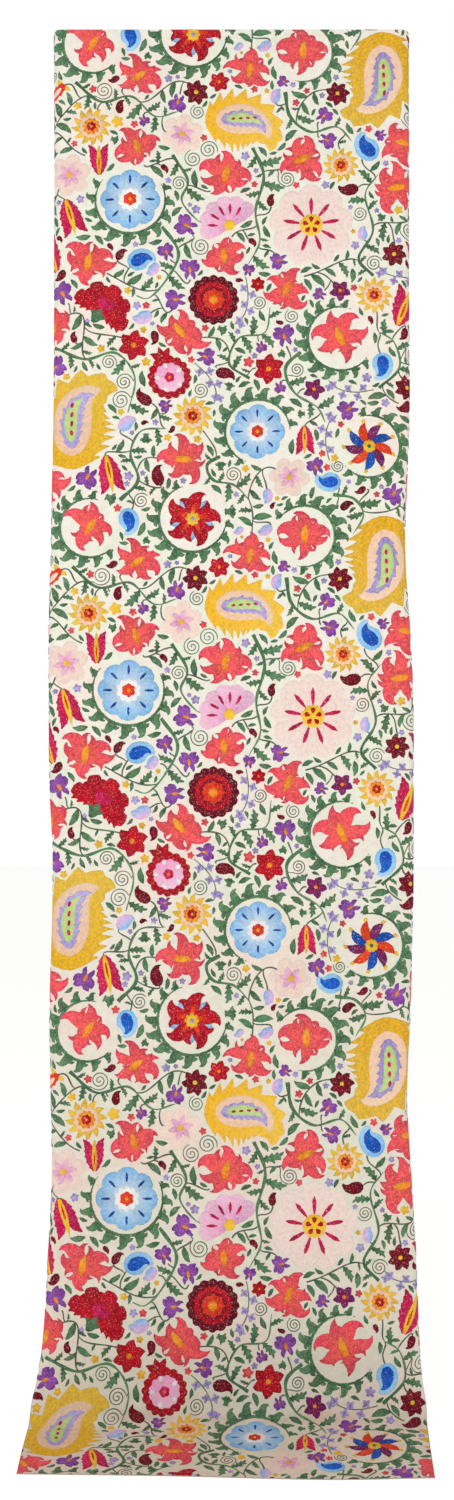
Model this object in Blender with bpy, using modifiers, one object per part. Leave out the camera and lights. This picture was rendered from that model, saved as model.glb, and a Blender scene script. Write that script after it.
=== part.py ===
"""Suzani fabric: one length of cloth that hangs from its top edge and sweeps onto the floor.

Units are metres, +Z up.  The face of the cloth looks along -Y, and the origin is the middle of its
top edge.  A place on the cloth is given as (across, down): across runs from the left edge to the
right edge, down runs along the cloth from the top edge to the front edge.
"""
import math

import bpy
from mathutils import Vector

# Driving sizes
DROP = 2.656                      # top edge to floor
CUT_WIDTH = 0.730                 # long edge to long edge, laid flat
FLOOR_REACH = 0.229               # front edge in front of the hanging plane
THICKNESS = 0.0015

# The turn from hanging to lying: a slow lean towards the front, then a tight bend at the floor
LEAN_RADIUS = 0.200
LEAN_ANGLE = math.radians(28.0)
BEND_RADIUS = 0.035

# The long edges roll back in a curl, wider where more cloth is drawn in
CURL_RADIUS = 0.016
CURL_FULLNESS = 1.50              # cloth hidden in a curl, in radii, at which it grows wider

# Outline of the hanging cloth, from its own middle line: how far each long edge reaches,
# and how far the middle line drifts sideways
OUTLINE_COLUMNS = ("down", "left", "right", "drift")
OUTLINE = (
    (0.000, 0.346, 0.346, 0.000),
    (0.450, 0.341, 0.341, 0.000),
    (0.780, 0.340, 0.340, 0.000),
    (1.010, 0.345, 0.330, 0.000),
    (1.170, 0.349, 0.338, 0.000),
    (1.320, 0.348, 0.346, 0.000),
    (1.470, 0.344, 0.344, 0.000),
    (1.620, 0.335, 0.343, 0.000),
    (1.920, 0.339, 0.333, 0.000),
    (2.075, 0.336, 0.326, 0.000),
    (2.220, 0.333, 0.333, 0.000),
    (2.370, 0.340, 0.342, 0.000),
    (2.515, 0.350, 0.350, -0.001),
    (2.590, 0.359, 0.359, -0.004),
    (2.640, 0.365, 0.365, -0.006),
    (2.755, 0.360, 0.360, -0.010),
    (2.855, 0.354, 0.354, -0.012),
)

# The front edge isn't quite straight: how far it runs past FLOOR_REACH at places across
FRONT_COLUMNS = ("across", "past")
FRONT = (
    (-0.365, -0.009),
    (-0.100, -0.002),
    (0.180, 0.011),
    (0.365, 0.005),
)

# Shallow upright flutes in the hanging cloth
FLUTE_COLUMNS = ("depth", "width", "lean", "start")
FLUTES = (
    (0.0040, 0.430, 0.12, 0.10),
    (0.0022, 0.260, -0.20, 0.65),
    (0.0010, 0.135, 0.35, 0.30),
)
FLUTE_EASE = 0.35                 # length over which the flutes fade in below the top edge

# Mesh: rows of quads along each stretch, and columns across, closer together in the curls
HANG_ROWS = 48
LEAN_ROWS = 5
BEND_ROWS = 6
FLOOR_ROWS = 5
COLUMNS = 30
FLAT_SHARE = 0.534                # share of the columns that the flat middle takes
FLAT_PART = 0.80                  # share of the width that the flat middle takes

CLOTH_COLOUR = (0.86, 0.80, 0.69, 1.0)
CLOTH_ROUGHNESS = 0.9

# Stretches along the cloth, worked out from the sizes above
TURN_DROP = LEAN_RADIUS * math.sin(LEAN_ANGLE) + BEND_RADIUS * (1.0 - math.sin(LEAN_ANGLE))
LEAN_FORWARD = LEAN_RADIUS * (1.0 - math.cos(LEAN_ANGLE))
BEND_FORWARD = BEND_RADIUS * math.cos(LEAN_ANGLE)
HANG_LENGTH = DROP - TURN_DROP
LEAN_LENGTH = LEAN_RADIUS * LEAN_ANGLE
BEND_LENGTH = BEND_RADIUS * (math.pi / 2.0 - LEAN_ANGLE)
FLOOR_LENGTH = FLOOR_REACH - LEAN_FORWARD - BEND_FORWARD


def remove_objects():
    """Empty the scene."""
    for item in list(bpy.data.objects):
        bpy.data.objects.remove(item, do_unlink=True)


def along(table, columns, key, place):
    """The row of a table at a place, on smooth curves through its sections."""
    stops = [row[columns.index(key)] for row in table]
    place = min(max(place, stops[0]), stops[-1])
    index = max(i for i in range(len(stops) - 1) if stops[i] <= place)
    span = stops[index + 1] - stops[index]
    t = (place - stops[index]) / span
    result = {}
    for column, name in enumerate(columns):
        values = [row[column] for row in table]
        slopes = []
        for i in (index, index + 1):
            before, after = max(i - 1, 0), min(i + 1, len(stops) - 1)
            slopes.append((values[after] - values[before]) / (stops[after] - stops[before]) * span)
        start, end = values[index], values[index + 1]
        result[name] = (
            start * (2 * t**3 - 3 * t**2 + 1)
            + slopes[0] * (t**3 - 2 * t**2 + t)
            + end * (3 * t**2 - 2 * t**3)
            + slopes[1] * (t**3 - t**2)
        )
    return result


def ease(value):
    """A soft step from 0 to 1."""
    value = min(max(value, 0.0), 1.0)
    return value * value * (3.0 - 2.0 * value)


def profile(down, past):
    """Side view of the cloth: tilt from hanging, y and z. The floor run is longer by past."""
    if down <= HANG_LENGTH:
        return 0.0, 0.0, -down
    down -= HANG_LENGTH
    if down <= LEAN_LENGTH:
        tilt = down / LEAN_RADIUS
        return tilt, -LEAN_RADIUS * (1.0 - math.cos(tilt)), -HANG_LENGTH - LEAN_RADIUS * math.sin(tilt)
    down -= LEAN_LENGTH
    lean_drop = HANG_LENGTH + LEAN_RADIUS * math.sin(LEAN_ANGLE)
    if down <= BEND_LENGTH:
        tilt = LEAN_ANGLE + down / BEND_RADIUS
        y = -LEAN_FORWARD - BEND_RADIUS * (math.cos(LEAN_ANGLE) - math.cos(tilt))
        z = -lean_drop - BEND_RADIUS * (math.sin(tilt) - math.sin(LEAN_ANGLE))
        return tilt, y, z
    share = (down - BEND_LENGTH) / FLOOR_LENGTH
    return math.pi / 2.0, -LEAN_FORWARD - BEND_FORWARD - share * (FLOOR_LENGTH + past), -DROP


def curl(hidden):
    """Radius and angle of the curl that draws a long edge in by a hidden length."""
    if hidden < 1e-6:
        return CURL_RADIUS, 0.0
    radius = max(CURL_RADIUS, hidden / CURL_FULLNESS)
    angle = (6.0 * hidden / radius) ** (1.0 / 3.0)
    for _ in range(12):
        error = angle - math.sin(angle) - hidden / radius
        angle -= error / (1.0 - math.cos(angle))
    return radius, angle


def cross_section(across, reach, lying):
    """Sideways place and backward depth of a point, with the long edge reaching as far as reach."""
    half = CUT_WIDTH / 2.0
    side = math.copysign(1.0, across)
    if lying:
        return across * reach / half, 0.0
    radius, angle = curl(half - reach)
    flat_half = half - radius * angle
    if abs(across) <= flat_half or angle == 0.0:
        return across, 0.0
    turn = (abs(across) - flat_half) / radius
    return side * (flat_half + radius * math.sin(turn)), radius * (1.0 - math.cos(turn))


def flute_depth(across, down):
    """How far the flutes push the hanging cloth back at a place."""
    fade = ease(down / FLUTE_EASE) * (1.0 - ease((down - HANG_LENGTH + FLUTE_EASE) / FLUTE_EASE))
    depth = 0.0
    for row in FLUTES:
        flute = dict(zip(FLUTE_COLUMNS, row))
        turns = (across + flute["lean"] * down) / flute["width"] + flute["start"]
        depth += flute["depth"] * math.sin(2.0 * math.pi * turns)
    return depth * fade


def place_on_cloth(across, down):
    """The point of the cloth's back at (across, down)."""
    outline = along(OUTLINE, OUTLINE_COLUMNS, "down", down)
    past = along(FRONT, FRONT_COLUMNS, "across", across)["past"]
    tilt, y, z = profile(down, past)
    reach = outline["left"] if across < 0.0 else outline["right"]
    lying = down > HANG_LENGTH + LEAN_LENGTH
    sideways, back = cross_section(across, reach, lying)
    back += flute_depth(across, down)
    return Vector((sideways + outline["drift"], y + back * math.cos(tilt), z - back * math.sin(tilt)))


def row_stops():
    """Places down the cloth of the mesh rows, from the front edge up to the top edge."""
    stretches = (
        (HANG_LENGTH, HANG_ROWS),
        (LEAN_LENGTH, LEAN_ROWS),
        (BEND_LENGTH, BEND_ROWS),
        (FLOOR_LENGTH, FLOOR_ROWS),
    )
    stops, start = [0.0], 0.0
    for length, rows in stretches:
        stops += [start + length * (i + 1) / rows for i in range(rows)]
        start += length
    return stops[::-1]


def column_place(share):
    """Place across of a column, from its even share of the way, -1 at the left to 1 at the right."""
    size = abs(share)
    if size <= FLAT_SHARE:
        part = FLAT_PART * size / FLAT_SHARE
    else:
        part = FLAT_PART + (1.0 - FLAT_PART) * (size - FLAT_SHARE) / (1.0 - FLAT_SHARE)
    return math.copysign(part * CUT_WIDTH / 2.0, share)


def cloth_material():
    """Cream cotton ground."""
    material = bpy.data.materials.new("cloth")
    material.use_nodes = True
    shader = material.node_tree.nodes["Principled BSDF"]
    shader.inputs["Base Color"].default_value = CLOTH_COLOUR
    shader.inputs["Roughness"].default_value = CLOTH_ROUGHNESS
    shader.inputs["Metallic"].default_value = 0.0
    return material


def make_cloth(collection):
    """The cloth: a grid laid on the hanging shape, thickened towards its face."""
    stops = row_stops()
    bpy.ops.mesh.primitive_grid_add(x_subdivisions=COLUMNS, y_subdivisions=len(stops) - 1, size=2.0)
    cloth = bpy.context.object
    cloth.name = "cloth"
    cloth.data.name = "cloth"
    for vertex in cloth.data.vertices:
        row = round((vertex.co.y + 1.0) / 2.0 * (len(stops) - 1))
        vertex.co = place_on_cloth(column_place(vertex.co.x), stops[row])
    cloth.data.shade_smooth()
    cloth.data.materials.append(cloth_material())
    solidify = cloth.modifiers.new("thickness", "SOLIDIFY")
    solidify.thickness = THICKNESS
    solidify.offset = 1.0
    solidify.use_even_offset = True
    for owner in list(cloth.users_collection):
        owner.objects.unlink(cloth)
    collection.objects.link(cloth)
    return cloth


def main():
    remove_objects()
    collection = bpy.data.collections.new("suzani_fabric")
    bpy.context.scene.collection.children.link(collection)
    make_cloth(collection)


main()
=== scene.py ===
import math
import random

import bmesh
import bpy
import numpy as np
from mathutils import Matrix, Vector
from mathutils.geometry import delaunay_2d_cdt


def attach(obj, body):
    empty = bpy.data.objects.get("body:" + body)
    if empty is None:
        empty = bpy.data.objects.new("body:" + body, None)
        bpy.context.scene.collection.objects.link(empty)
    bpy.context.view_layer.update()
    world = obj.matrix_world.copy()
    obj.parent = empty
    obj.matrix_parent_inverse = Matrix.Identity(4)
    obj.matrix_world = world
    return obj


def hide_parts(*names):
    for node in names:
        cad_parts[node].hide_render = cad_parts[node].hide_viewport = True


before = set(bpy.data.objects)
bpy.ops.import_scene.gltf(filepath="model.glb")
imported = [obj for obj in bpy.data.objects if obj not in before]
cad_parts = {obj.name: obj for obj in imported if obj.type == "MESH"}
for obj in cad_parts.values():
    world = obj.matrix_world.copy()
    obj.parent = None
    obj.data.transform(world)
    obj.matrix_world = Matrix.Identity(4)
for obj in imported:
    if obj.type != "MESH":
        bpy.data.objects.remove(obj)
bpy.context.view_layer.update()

# Suzani fabric: a hanging length of cream cotton with chain-stitch flowers.
# A place on the cloth is (across, down): across runs from the left edge to the right edge,
# down runs along the cloth from the top edge to the front edge on the floor.

# Shape of the hanging cloth, in metres, as its solid has it
DROP = 2.656                      # top edge to floor
CUT_WIDTH = 0.730                 # long edge to long edge, laid flat
FLOOR_REACH = 0.229               # front edge in front of the hanging plane
THICKNESS = 0.0015
LEAN_RADIUS = 0.200
LEAN_ANGLE = math.radians(28.0)
BEND_RADIUS = 0.035
CURL_RADIUS = 0.016
CURL_FULLNESS = 1.50              # cloth hidden in a curl, in radii, at which it grows wider

OUTLINE_COLUMNS = ("down", "left", "right", "drift")
OUTLINE = (
    (0.000, 0.346, 0.346, 0.000),
    (0.450, 0.341, 0.341, 0.000),
    (0.780, 0.340, 0.340, 0.000),
    (1.010, 0.345, 0.330, 0.000),
    (1.170, 0.349, 0.338, 0.000),
    (1.320, 0.348, 0.346, 0.000),
    (1.470, 0.344, 0.344, 0.000),
    (1.620, 0.335, 0.343, 0.000),
    (1.920, 0.339, 0.333, 0.000),
    (2.075, 0.336, 0.326, 0.000),
    (2.220, 0.333, 0.333, 0.000),
    (2.370, 0.340, 0.342, 0.000),
    (2.515, 0.350, 0.350, -0.001),
    (2.590, 0.359, 0.359, -0.004),
    (2.640, 0.365, 0.365, -0.006),
    (2.755, 0.360, 0.360, -0.010),
    (2.855, 0.354, 0.354, -0.012),
)

FRONT_COLUMNS = ("across", "past")
FRONT = (
    (-0.365, -0.009),
    (-0.100, -0.002),
    (0.180, 0.011),
    (0.365, 0.005),
)

FLUTE_COLUMNS = ("depth", "width", "lean", "start")
FLUTES = (
    (0.0040, 0.430, 0.12, 0.10),
    (0.0022, 0.260, -0.20, 0.65),
    (0.0010, 0.135, 0.35, 0.30),
)
FLUTE_EASE = 0.35
LIE_EASE = 0.030                  # stretch over which the curls open out at the bend
LIE_EARLY = 0.7                   # share of that stretch that lies above the bend

# Stretches along the cloth, worked out from the sizes above
TURN_DROP = LEAN_RADIUS * math.sin(LEAN_ANGLE) + BEND_RADIUS * (1.0 - math.sin(LEAN_ANGLE))
LEAN_FORWARD = LEAN_RADIUS * (1.0 - math.cos(LEAN_ANGLE))
BEND_FORWARD = BEND_RADIUS * math.cos(LEAN_ANGLE)
HANG_LENGTH = DROP - TURN_DROP
LEAN_LENGTH = LEAN_RADIUS * LEAN_ANGLE
BEND_LENGTH = BEND_RADIUS * (math.pi / 2.0 - LEAN_ANGLE)
FLOOR_LENGTH = FLOOR_REACH - LEAN_FORWARD - BEND_FORWARD
CUT_LENGTH = HANG_LENGTH + LEAN_LENGTH + BEND_LENGTH + FLOOR_LENGTH

# Creases: soft troughs (minus) and ridges (plus) in the cloth.
# Each lies around (across, down), half_length long to each side, turned by slant, with half_width.
CREASE_COLUMNS = ("across", "down", "half_length", "half_width", "height", "slant")
CREASES = (
    (-0.090, 2.628, 0.300, 0.0150, -0.0021, 0.02),
    (0.210, 2.636, 0.170, 0.0140, -0.0019, -0.05),
    (-0.200, 2.664, 0.170, 0.0150, 0.0016, 0.06),
    (0.080, 2.672, 0.220, 0.0160, 0.0018, -0.03),
    (0.285, 2.690, 0.090, 0.0140, -0.0012, 0.20),
    (-0.275, 2.600, 0.090, 0.0160, -0.0017, -0.35),
    (0.290, 2.585, 0.080, 0.0160, -0.0015, 0.30),
    (0.030, 2.760, 0.260, 0.0180, 0.0015, 0.05),
    (-0.250, 2.790, 0.110, 0.0160, -0.0010, 0.25),
    (-0.310, 0.870, 0.060, 0.0160, -0.0016, 1.20),
    (0.305, 1.000, 0.090, 0.0180, -0.0018, -1.35),
    (0.300, 2.060, 0.110, 0.0180, -0.0018, 1.30),
    (-0.300, 1.640, 0.100, 0.0170, -0.0016, -1.35),
    (-0.100, 0.055, 0.120, 0.0200, 0.0010, 1.45),
    (0.190, 0.070, 0.110, 0.0220, -0.0010, -1.40),
)

# Puckers that dense stitching leaves in the ground
PUCKER_COLUMNS = ("height", "across", "down", "start")
PUCKERS = (
    (0.00022, 0.061, 0.083, 0.10),
    (0.00018, -0.047, 0.112, 0.45),
    (0.00016, 0.118, -0.039, 0.80),
)
PUCKER_EASE = 0.05                # width over which they fade out at the cut edges
CREASE_WANDER = 0.35              # how far a crease strays from a straight line, in half widths
CREASE_BENDS = 5.0                # how often it does so, in radians a half length

# Spacing of the ground cloth's mesh
HANG_STEP = 0.0115
TURN_STEP = 0.0040
FLOOR_STEP = 0.0058
FLAT_STEP = 0.0080
EDGE_STEP = 0.0030
EDGE_BAND = 0.062                 # width at each long edge that curls and gets the finer mesh

# Camera: what the photograph's framing gives
CAMERA_PLACE = (-0.0088, -2.5708, -1.5465)
CAMERA_PITCH = math.radians(92.95)
CAMERA_LENS = 32.4
CAMERA_SENSOR = 36.0


def srgb(red, green, blue):
    """A colour as a colour picker shows it, 0 to 255, as linear numbers."""
    values = []
    for value in (red, green, blue):
        value /= 255.0
        values.append(value / 12.92 if value <= 0.04045 else ((value + 0.055) / 1.055) ** 2.4)
    return tuple(values)


# The hanging shape

def ease(value):
    """A soft step from 0 to 1."""
    value = np.clip(value, 0.0, 1.0)
    return value * value * (3.0 - 2.0 * value)


def rows_of(table, columns):
    """The rows of a table, each as a dictionary of its named columns."""
    return [dict(zip(columns, row)) for row in table]


def along(table, columns, key, place):
    """The columns of a table at each place, on smooth curves through its rows."""
    stops = np.array([row[columns.index(key)] for row in table])
    last = len(stops) - 1
    place = np.clip(place, stops[0], stops[-1])
    index = np.clip(np.searchsorted(stops, place, side="right") - 1, 0, last - 1)
    before = np.maximum(np.arange(last + 1) - 1, 0)
    after = np.minimum(np.arange(last + 1) + 1, last)
    span = stops[index + 1] - stops[index]
    t = (place - stops[index]) / span
    result = {}
    for column, name in enumerate(columns):
        values = np.array([row[column] for row in table])
        slopes = (values[after] - values[before]) / (stops[after] - stops[before])
        result[name] = (
            values[index] * (2 * t**3 - 3 * t**2 + 1)
            + slopes[index] * span * (t**3 - 2 * t**2 + t)
            + values[index + 1] * (3 * t**2 - 2 * t**3)
            + slopes[index + 1] * span * (t**3 - t**2)
        )
    return result


def profile(down, past):
    """Side view of the cloth: tilt from hanging, y and z. The floor run is longer by past."""
    lean = np.clip(down - HANG_LENGTH, 0.0, LEAN_LENGTH) / LEAN_RADIUS
    bend = LEAN_ANGLE + np.clip(down - HANG_LENGTH - LEAN_LENGTH, 0.0, BEND_LENGTH) / BEND_RADIUS
    share = (down - HANG_LENGTH - LEAN_LENGTH - BEND_LENGTH) / FLOOR_LENGTH
    lean_drop = HANG_LENGTH + LEAN_RADIUS * math.sin(LEAN_ANGLE)
    on_lean = down > HANG_LENGTH
    on_bend = down > HANG_LENGTH + LEAN_LENGTH
    on_floor = down > HANG_LENGTH + LEAN_LENGTH + BEND_LENGTH
    tilt = np.select([on_floor, on_bend, on_lean], [math.pi / 2.0, bend, lean], 0.0)
    y = np.select(
        [on_floor, on_bend, on_lean],
        [
            -LEAN_FORWARD - BEND_FORWARD - share * (FLOOR_LENGTH + past),
            -LEAN_FORWARD - BEND_RADIUS * (math.cos(LEAN_ANGLE) - np.cos(bend)),
            -LEAN_RADIUS * (1.0 - np.cos(lean)),
        ],
        0.0,
    )
    z = np.select(
        [on_floor, on_bend, on_lean],
        [
            -DROP,
            -lean_drop - BEND_RADIUS * (np.sin(bend) - math.sin(LEAN_ANGLE)),
            -HANG_LENGTH - LEAN_RADIUS * np.sin(lean),
        ],
        -down,
    )
    return tilt, y, z


def curl(hidden):
    """Radius and angle of the curl that draws a long edge in by a hidden length."""
    flat = hidden < 1e-6
    hidden = np.maximum(hidden, 1e-6)
    radius = np.maximum(CURL_RADIUS, hidden / CURL_FULLNESS)
    angle = (6.0 * hidden / radius) ** (1.0 / 3.0)
    for _ in range(12):
        error = angle - np.sin(angle) - hidden / radius
        angle = angle - error / np.maximum(1.0 - np.cos(angle), 1e-9)
    return radius, np.where(flat, 0.0, angle)


def cross_section(across, reach, lying):
    """Sideways place and backward depth of points, with the long edge reaching as far as reach.

    lying is 0 where the cloth hangs and curls, and 1 where it lies and is drawn in evenly.
    """
    half = CUT_WIDTH / 2.0
    side = np.where(across < 0.0, -1.0, 1.0)
    radius, angle = curl(half - reach)
    flat_half = half - radius * angle
    turn = np.maximum(np.abs(across) - flat_half, 0.0) / radius
    sideways = side * (np.minimum(np.abs(across), flat_half) + radius * np.sin(turn))
    back = radius * (1.0 - np.cos(turn))
    return sideways + lying * (across * reach / half - sideways), back * (1.0 - lying)


def flute_depth(across, down):
    """How far the flutes push the hanging cloth back at each place."""
    fade = ease(down / FLUTE_EASE) * (1.0 - ease((down - HANG_LENGTH + FLUTE_EASE) / FLUTE_EASE))
    depth = np.zeros_like(down)
    for flute in rows_of(FLUTES, FLUTE_COLUMNS):
        turns = (across + flute["lean"] * down) / flute["width"] + flute["start"]
        depth += flute["depth"] * np.sin(2.0 * math.pi * turns)
    return depth * fade


def base_points(across, down):
    """The points of the cloth's back, without creases."""
    outline = along(OUTLINE, OUTLINE_COLUMNS, "down", down)
    past = along(FRONT, FRONT_COLUMNS, "across", across)["past"]
    tilt, y, z = profile(down, past)
    reach = np.where(across < 0.0, outline["left"], outline["right"])
    lying = ease((down - HANG_LENGTH - LEAN_LENGTH + LIE_EARLY * LIE_EASE) / LIE_EASE)
    sideways, back = cross_section(across, reach, lying)
    back = back + flute_depth(across, down)
    return np.stack(
        [sideways + outline["drift"], y + back * np.cos(tilt), z - back * np.sin(tilt)], axis=1
    )


def relief(across, down):
    """How far creases and puckers push the cloth towards its face."""
    push = np.zeros_like(down)
    for crease in rows_of(CREASES, CREASE_COLUMNS):
        x, y = across - crease["across"], down - crease["down"]
        turned_x = x * math.cos(crease["slant"]) + y * math.sin(crease["slant"])
        turned_y = y * math.cos(crease["slant"]) - x * math.sin(crease["slant"])
        bends = np.sin(turned_x / crease["half_length"] * CREASE_BENDS)
        wander = CREASE_WANDER * crease["half_width"] * bends
        reach = 1.0 - ease(np.abs(turned_x) / crease["half_length"])
        push += crease["height"] * reach * np.exp(-(((turned_y - wander) / crease["half_width"]) ** 2))
    for pucker in rows_of(PUCKERS, PUCKER_COLUMNS):
        turns = across / pucker["across"] + down / pucker["down"] + pucker["start"]
        push += pucker["height"] * np.sin(2.0 * math.pi * turns)
    edge = np.minimum(CUT_WIDTH / 2.0 - np.abs(across), np.minimum(down, CUT_LENGTH - down))
    return push * ease(edge / PUCKER_EASE)


SLOPE_STEP = 0.0005               # how far apart points are taken to find which way the cloth faces
LEAST_RISE = 0.05                 # keeps a point's way down to the floor finite where it faces level


def lay_on_cloth(across, down, height):
    """Points that stand height above the cloth's back, at places on the cloth."""
    sideways = base_points(across + SLOPE_STEP, down) - base_points(across - SLOPE_STEP, down)
    lengthways = base_points(across, down + SLOPE_STEP) - base_points(across, down - SLOPE_STEP)
    out = np.cross(lengthways, sideways)
    out /= np.linalg.norm(out, axis=1)[:, None]
    base = base_points(across, down)
    above_floor = (base[:, 2] + DROP) / np.maximum(out[:, 2], LEAST_RISE)
    return base + out * (np.maximum(relief(across, down), -above_floor) + height)[:, None]


# Shader maths

class Wire:
    """An output socket, so that maths on it is written as an expression."""

    def __init__(self, finish, socket):
        self.finish = finish
        self.socket = socket

    def maths(self, operation, *values):
        inputs = dict(enumerate((self,) + values))
        return self.finish.node("ShaderNodeMath", {"operation": operation}, inputs)

    def __add__(self, other):
        return self.maths("ADD", other)

    __radd__ = __add__

    def __sub__(self, other):
        return self.maths("SUBTRACT", other)

    def __rsub__(self, other):
        return self.finish.node("ShaderNodeMath", {"operation": "SUBTRACT"}, {0: other, 1: self})

    def __mul__(self, other):
        return self.maths("MULTIPLY", other)

    __rmul__ = __mul__

    def __truediv__(self, other):
        return self.maths("DIVIDE", other)

    def __pow__(self, other):
        return self.maths("POWER", other)

    def __mod__(self, other):
        return self.maths("FLOORED_MODULO", other)

    def floor(self):
        return self.maths("FLOOR")

    def size(self):
        return self.maths("ABSOLUTE")

    def wave(self):
        """A sine from -1 to 1 that turns once a unit."""
        return (self * (2.0 * math.pi)).maths("SINE")

    def step(self, low, high):
        """A soft step, 0 below low and 1 above high."""
        inputs = {"Value": self, "From Min": low, "From Max": high}
        return self.finish.node("ShaderNodeMapRange", {"interpolation_type": "SMOOTHSTEP"}, inputs)


class Finish:
    """The nodes of a material, or of the world, and the shader that they feed."""

    def __init__(self, owner, shader="Principled BSDF"):
        self.owner = owner
        self.owner.use_nodes = True
        self.tree = owner.node_tree
        self.shader = self.tree.nodes[shader]

    def node(self, kind, settings=None, inputs=None, output=0):
        """Add a node: settings first, then the values or links of its sockets. Gives an output."""
        node = self.tree.nodes.new(kind)
        for name, value in (settings or {}).items():
            setattr(node, name, value)
        for name, value in (inputs or {}).items():
            if isinstance(value, Wire):
                self.tree.links.new(value.socket, node.inputs[name])
            else:
                node.inputs[name].default_value = value
        return Wire(self, node.outputs[output])

    def attribute(self, name, output="Fac"):
        """A value that the mesh carries at its vertices."""
        return self.node("ShaderNodeAttribute", {"attribute_name": name}, output=output)

    def parts(self, vector):
        """The three numbers of a vector."""
        split = self.node("ShaderNodeSeparateXYZ", inputs={0: vector}).socket.node
        return [Wire(self, output) for output in split.outputs]

    def vector(self, x, y, z=0.0):
        return self.node("ShaderNodeCombineXYZ", inputs={0: x, 1: y, 2: z})

    def noise(self, place, scale, detail=2.0):
        inputs = {"Vector": place, "Scale": scale, "Detail": detail}
        return self.node("ShaderNodeTexNoise", inputs=inputs)

    def mix(self, share, first, second, blend="MIX"):
        """Two colours mixed."""
        settings = {"data_type": "RGBA", "blend_type": blend}
        return self.node("ShaderNodeMix", settings, {0: share, 6: first, 7: second}, output=2)

    def grey(self, value):
        """A number as a colour, to multiply others by."""
        return self.node("ShaderNodeCombineColor", inputs={0: value, 1: value, 2: value})

    def lightness(self, colour):
        return self.node("ShaderNodeRGBToBW", inputs={0: colour})

    def bump(self, height, distance, strength):
        inputs = {"Height": height, "Distance": distance, "Strength": strength}
        return self.node("ShaderNodeBump", inputs=inputs)

    def feed(self, **sockets):
        """Set or link sockets of the shader, with _ for a space in their names."""
        for name, value in sockets.items():
            socket = self.shader.inputs[name.replace("_", " ")]
            if isinstance(value, Wire):
                self.tree.links.new(value.socket, socket)
            else:
                socket.default_value = value
        return self.owner


def opaque(colour):
    return (*colour, 1.0)


CREAM = srgb(247, 241, 228)
WARM_CREAM = srgb(251, 235, 222)
GREEN_CREAM = srgb(240, 241, 223)
SLUB = srgb(226, 212, 186)
# Brown of the painted shade, towards the floor and in the bend
SHADE_BROWN = srgb(196, 158, 112)
# Dark of the painted shadow lines along the lower cut edges
EDGE_SHADOW = srgb(104, 92, 82)

# Grains of the ground's noises, in turns a metre
TINT_GRAIN, WARM_GRAIN = 7.0, 4.3     # uneven tint of the cotton
CLOUD_GRAIN, FLECK_GRAIN = 55.0, 260.0
WEFT_GRAIN = (30.0, 420.0)            # slubs: long one way and thin the other, across and down
WARP_GRAIN = (420.0, 24.0)
BLOTCH_GRAIN = (9.0, 22.0)
YARN_COUNT = 720.0                    # waves of the plain weave a metre

SLUB_SHARE = 0.30
CLOUD_DEPTH, FLECK_DEPTH = 0.22, 0.20
TONE = 0.815                          # tone of the ground where clouds and flecks are darkest
DIM_START, DIM_FULL = 1.10, 2.25      # where painted shade slowly makes the ground warmer and darker, m
DIM_SHARE, DIM_DEPTH = 0.13, 0.03     # how much warmer and darker the painted shade makes it
FLOOR_SHADE_START, FLOOR_SHADE_FULL = 2.42, 2.86    # where painted shade makes it browner towards the floor, m
FLOOR_SHADE_STRAY, FLOOR_SHADE_SHARE = 0.16, 0.16
FOLD_LINE, FOLD_WIDTH = 2.656, 0.024  # the band of painted shade in the bend at the floor, m
FOLD_STRAY, FOLD_SHADE_SHARE = 0.05, 0.24
SIDE_SHADOW, FRONT_SHADOW = 0.62, 0.45    # how dark the painted shadow lines along the lower cut edges are
EDGE_SHADOW_START = 0.0004                   # the painted shadow line fades out from here in, m
SIDE_SHADOW_END, FRONT_SHADOW_END = 0.0022, 0.0018


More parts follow.
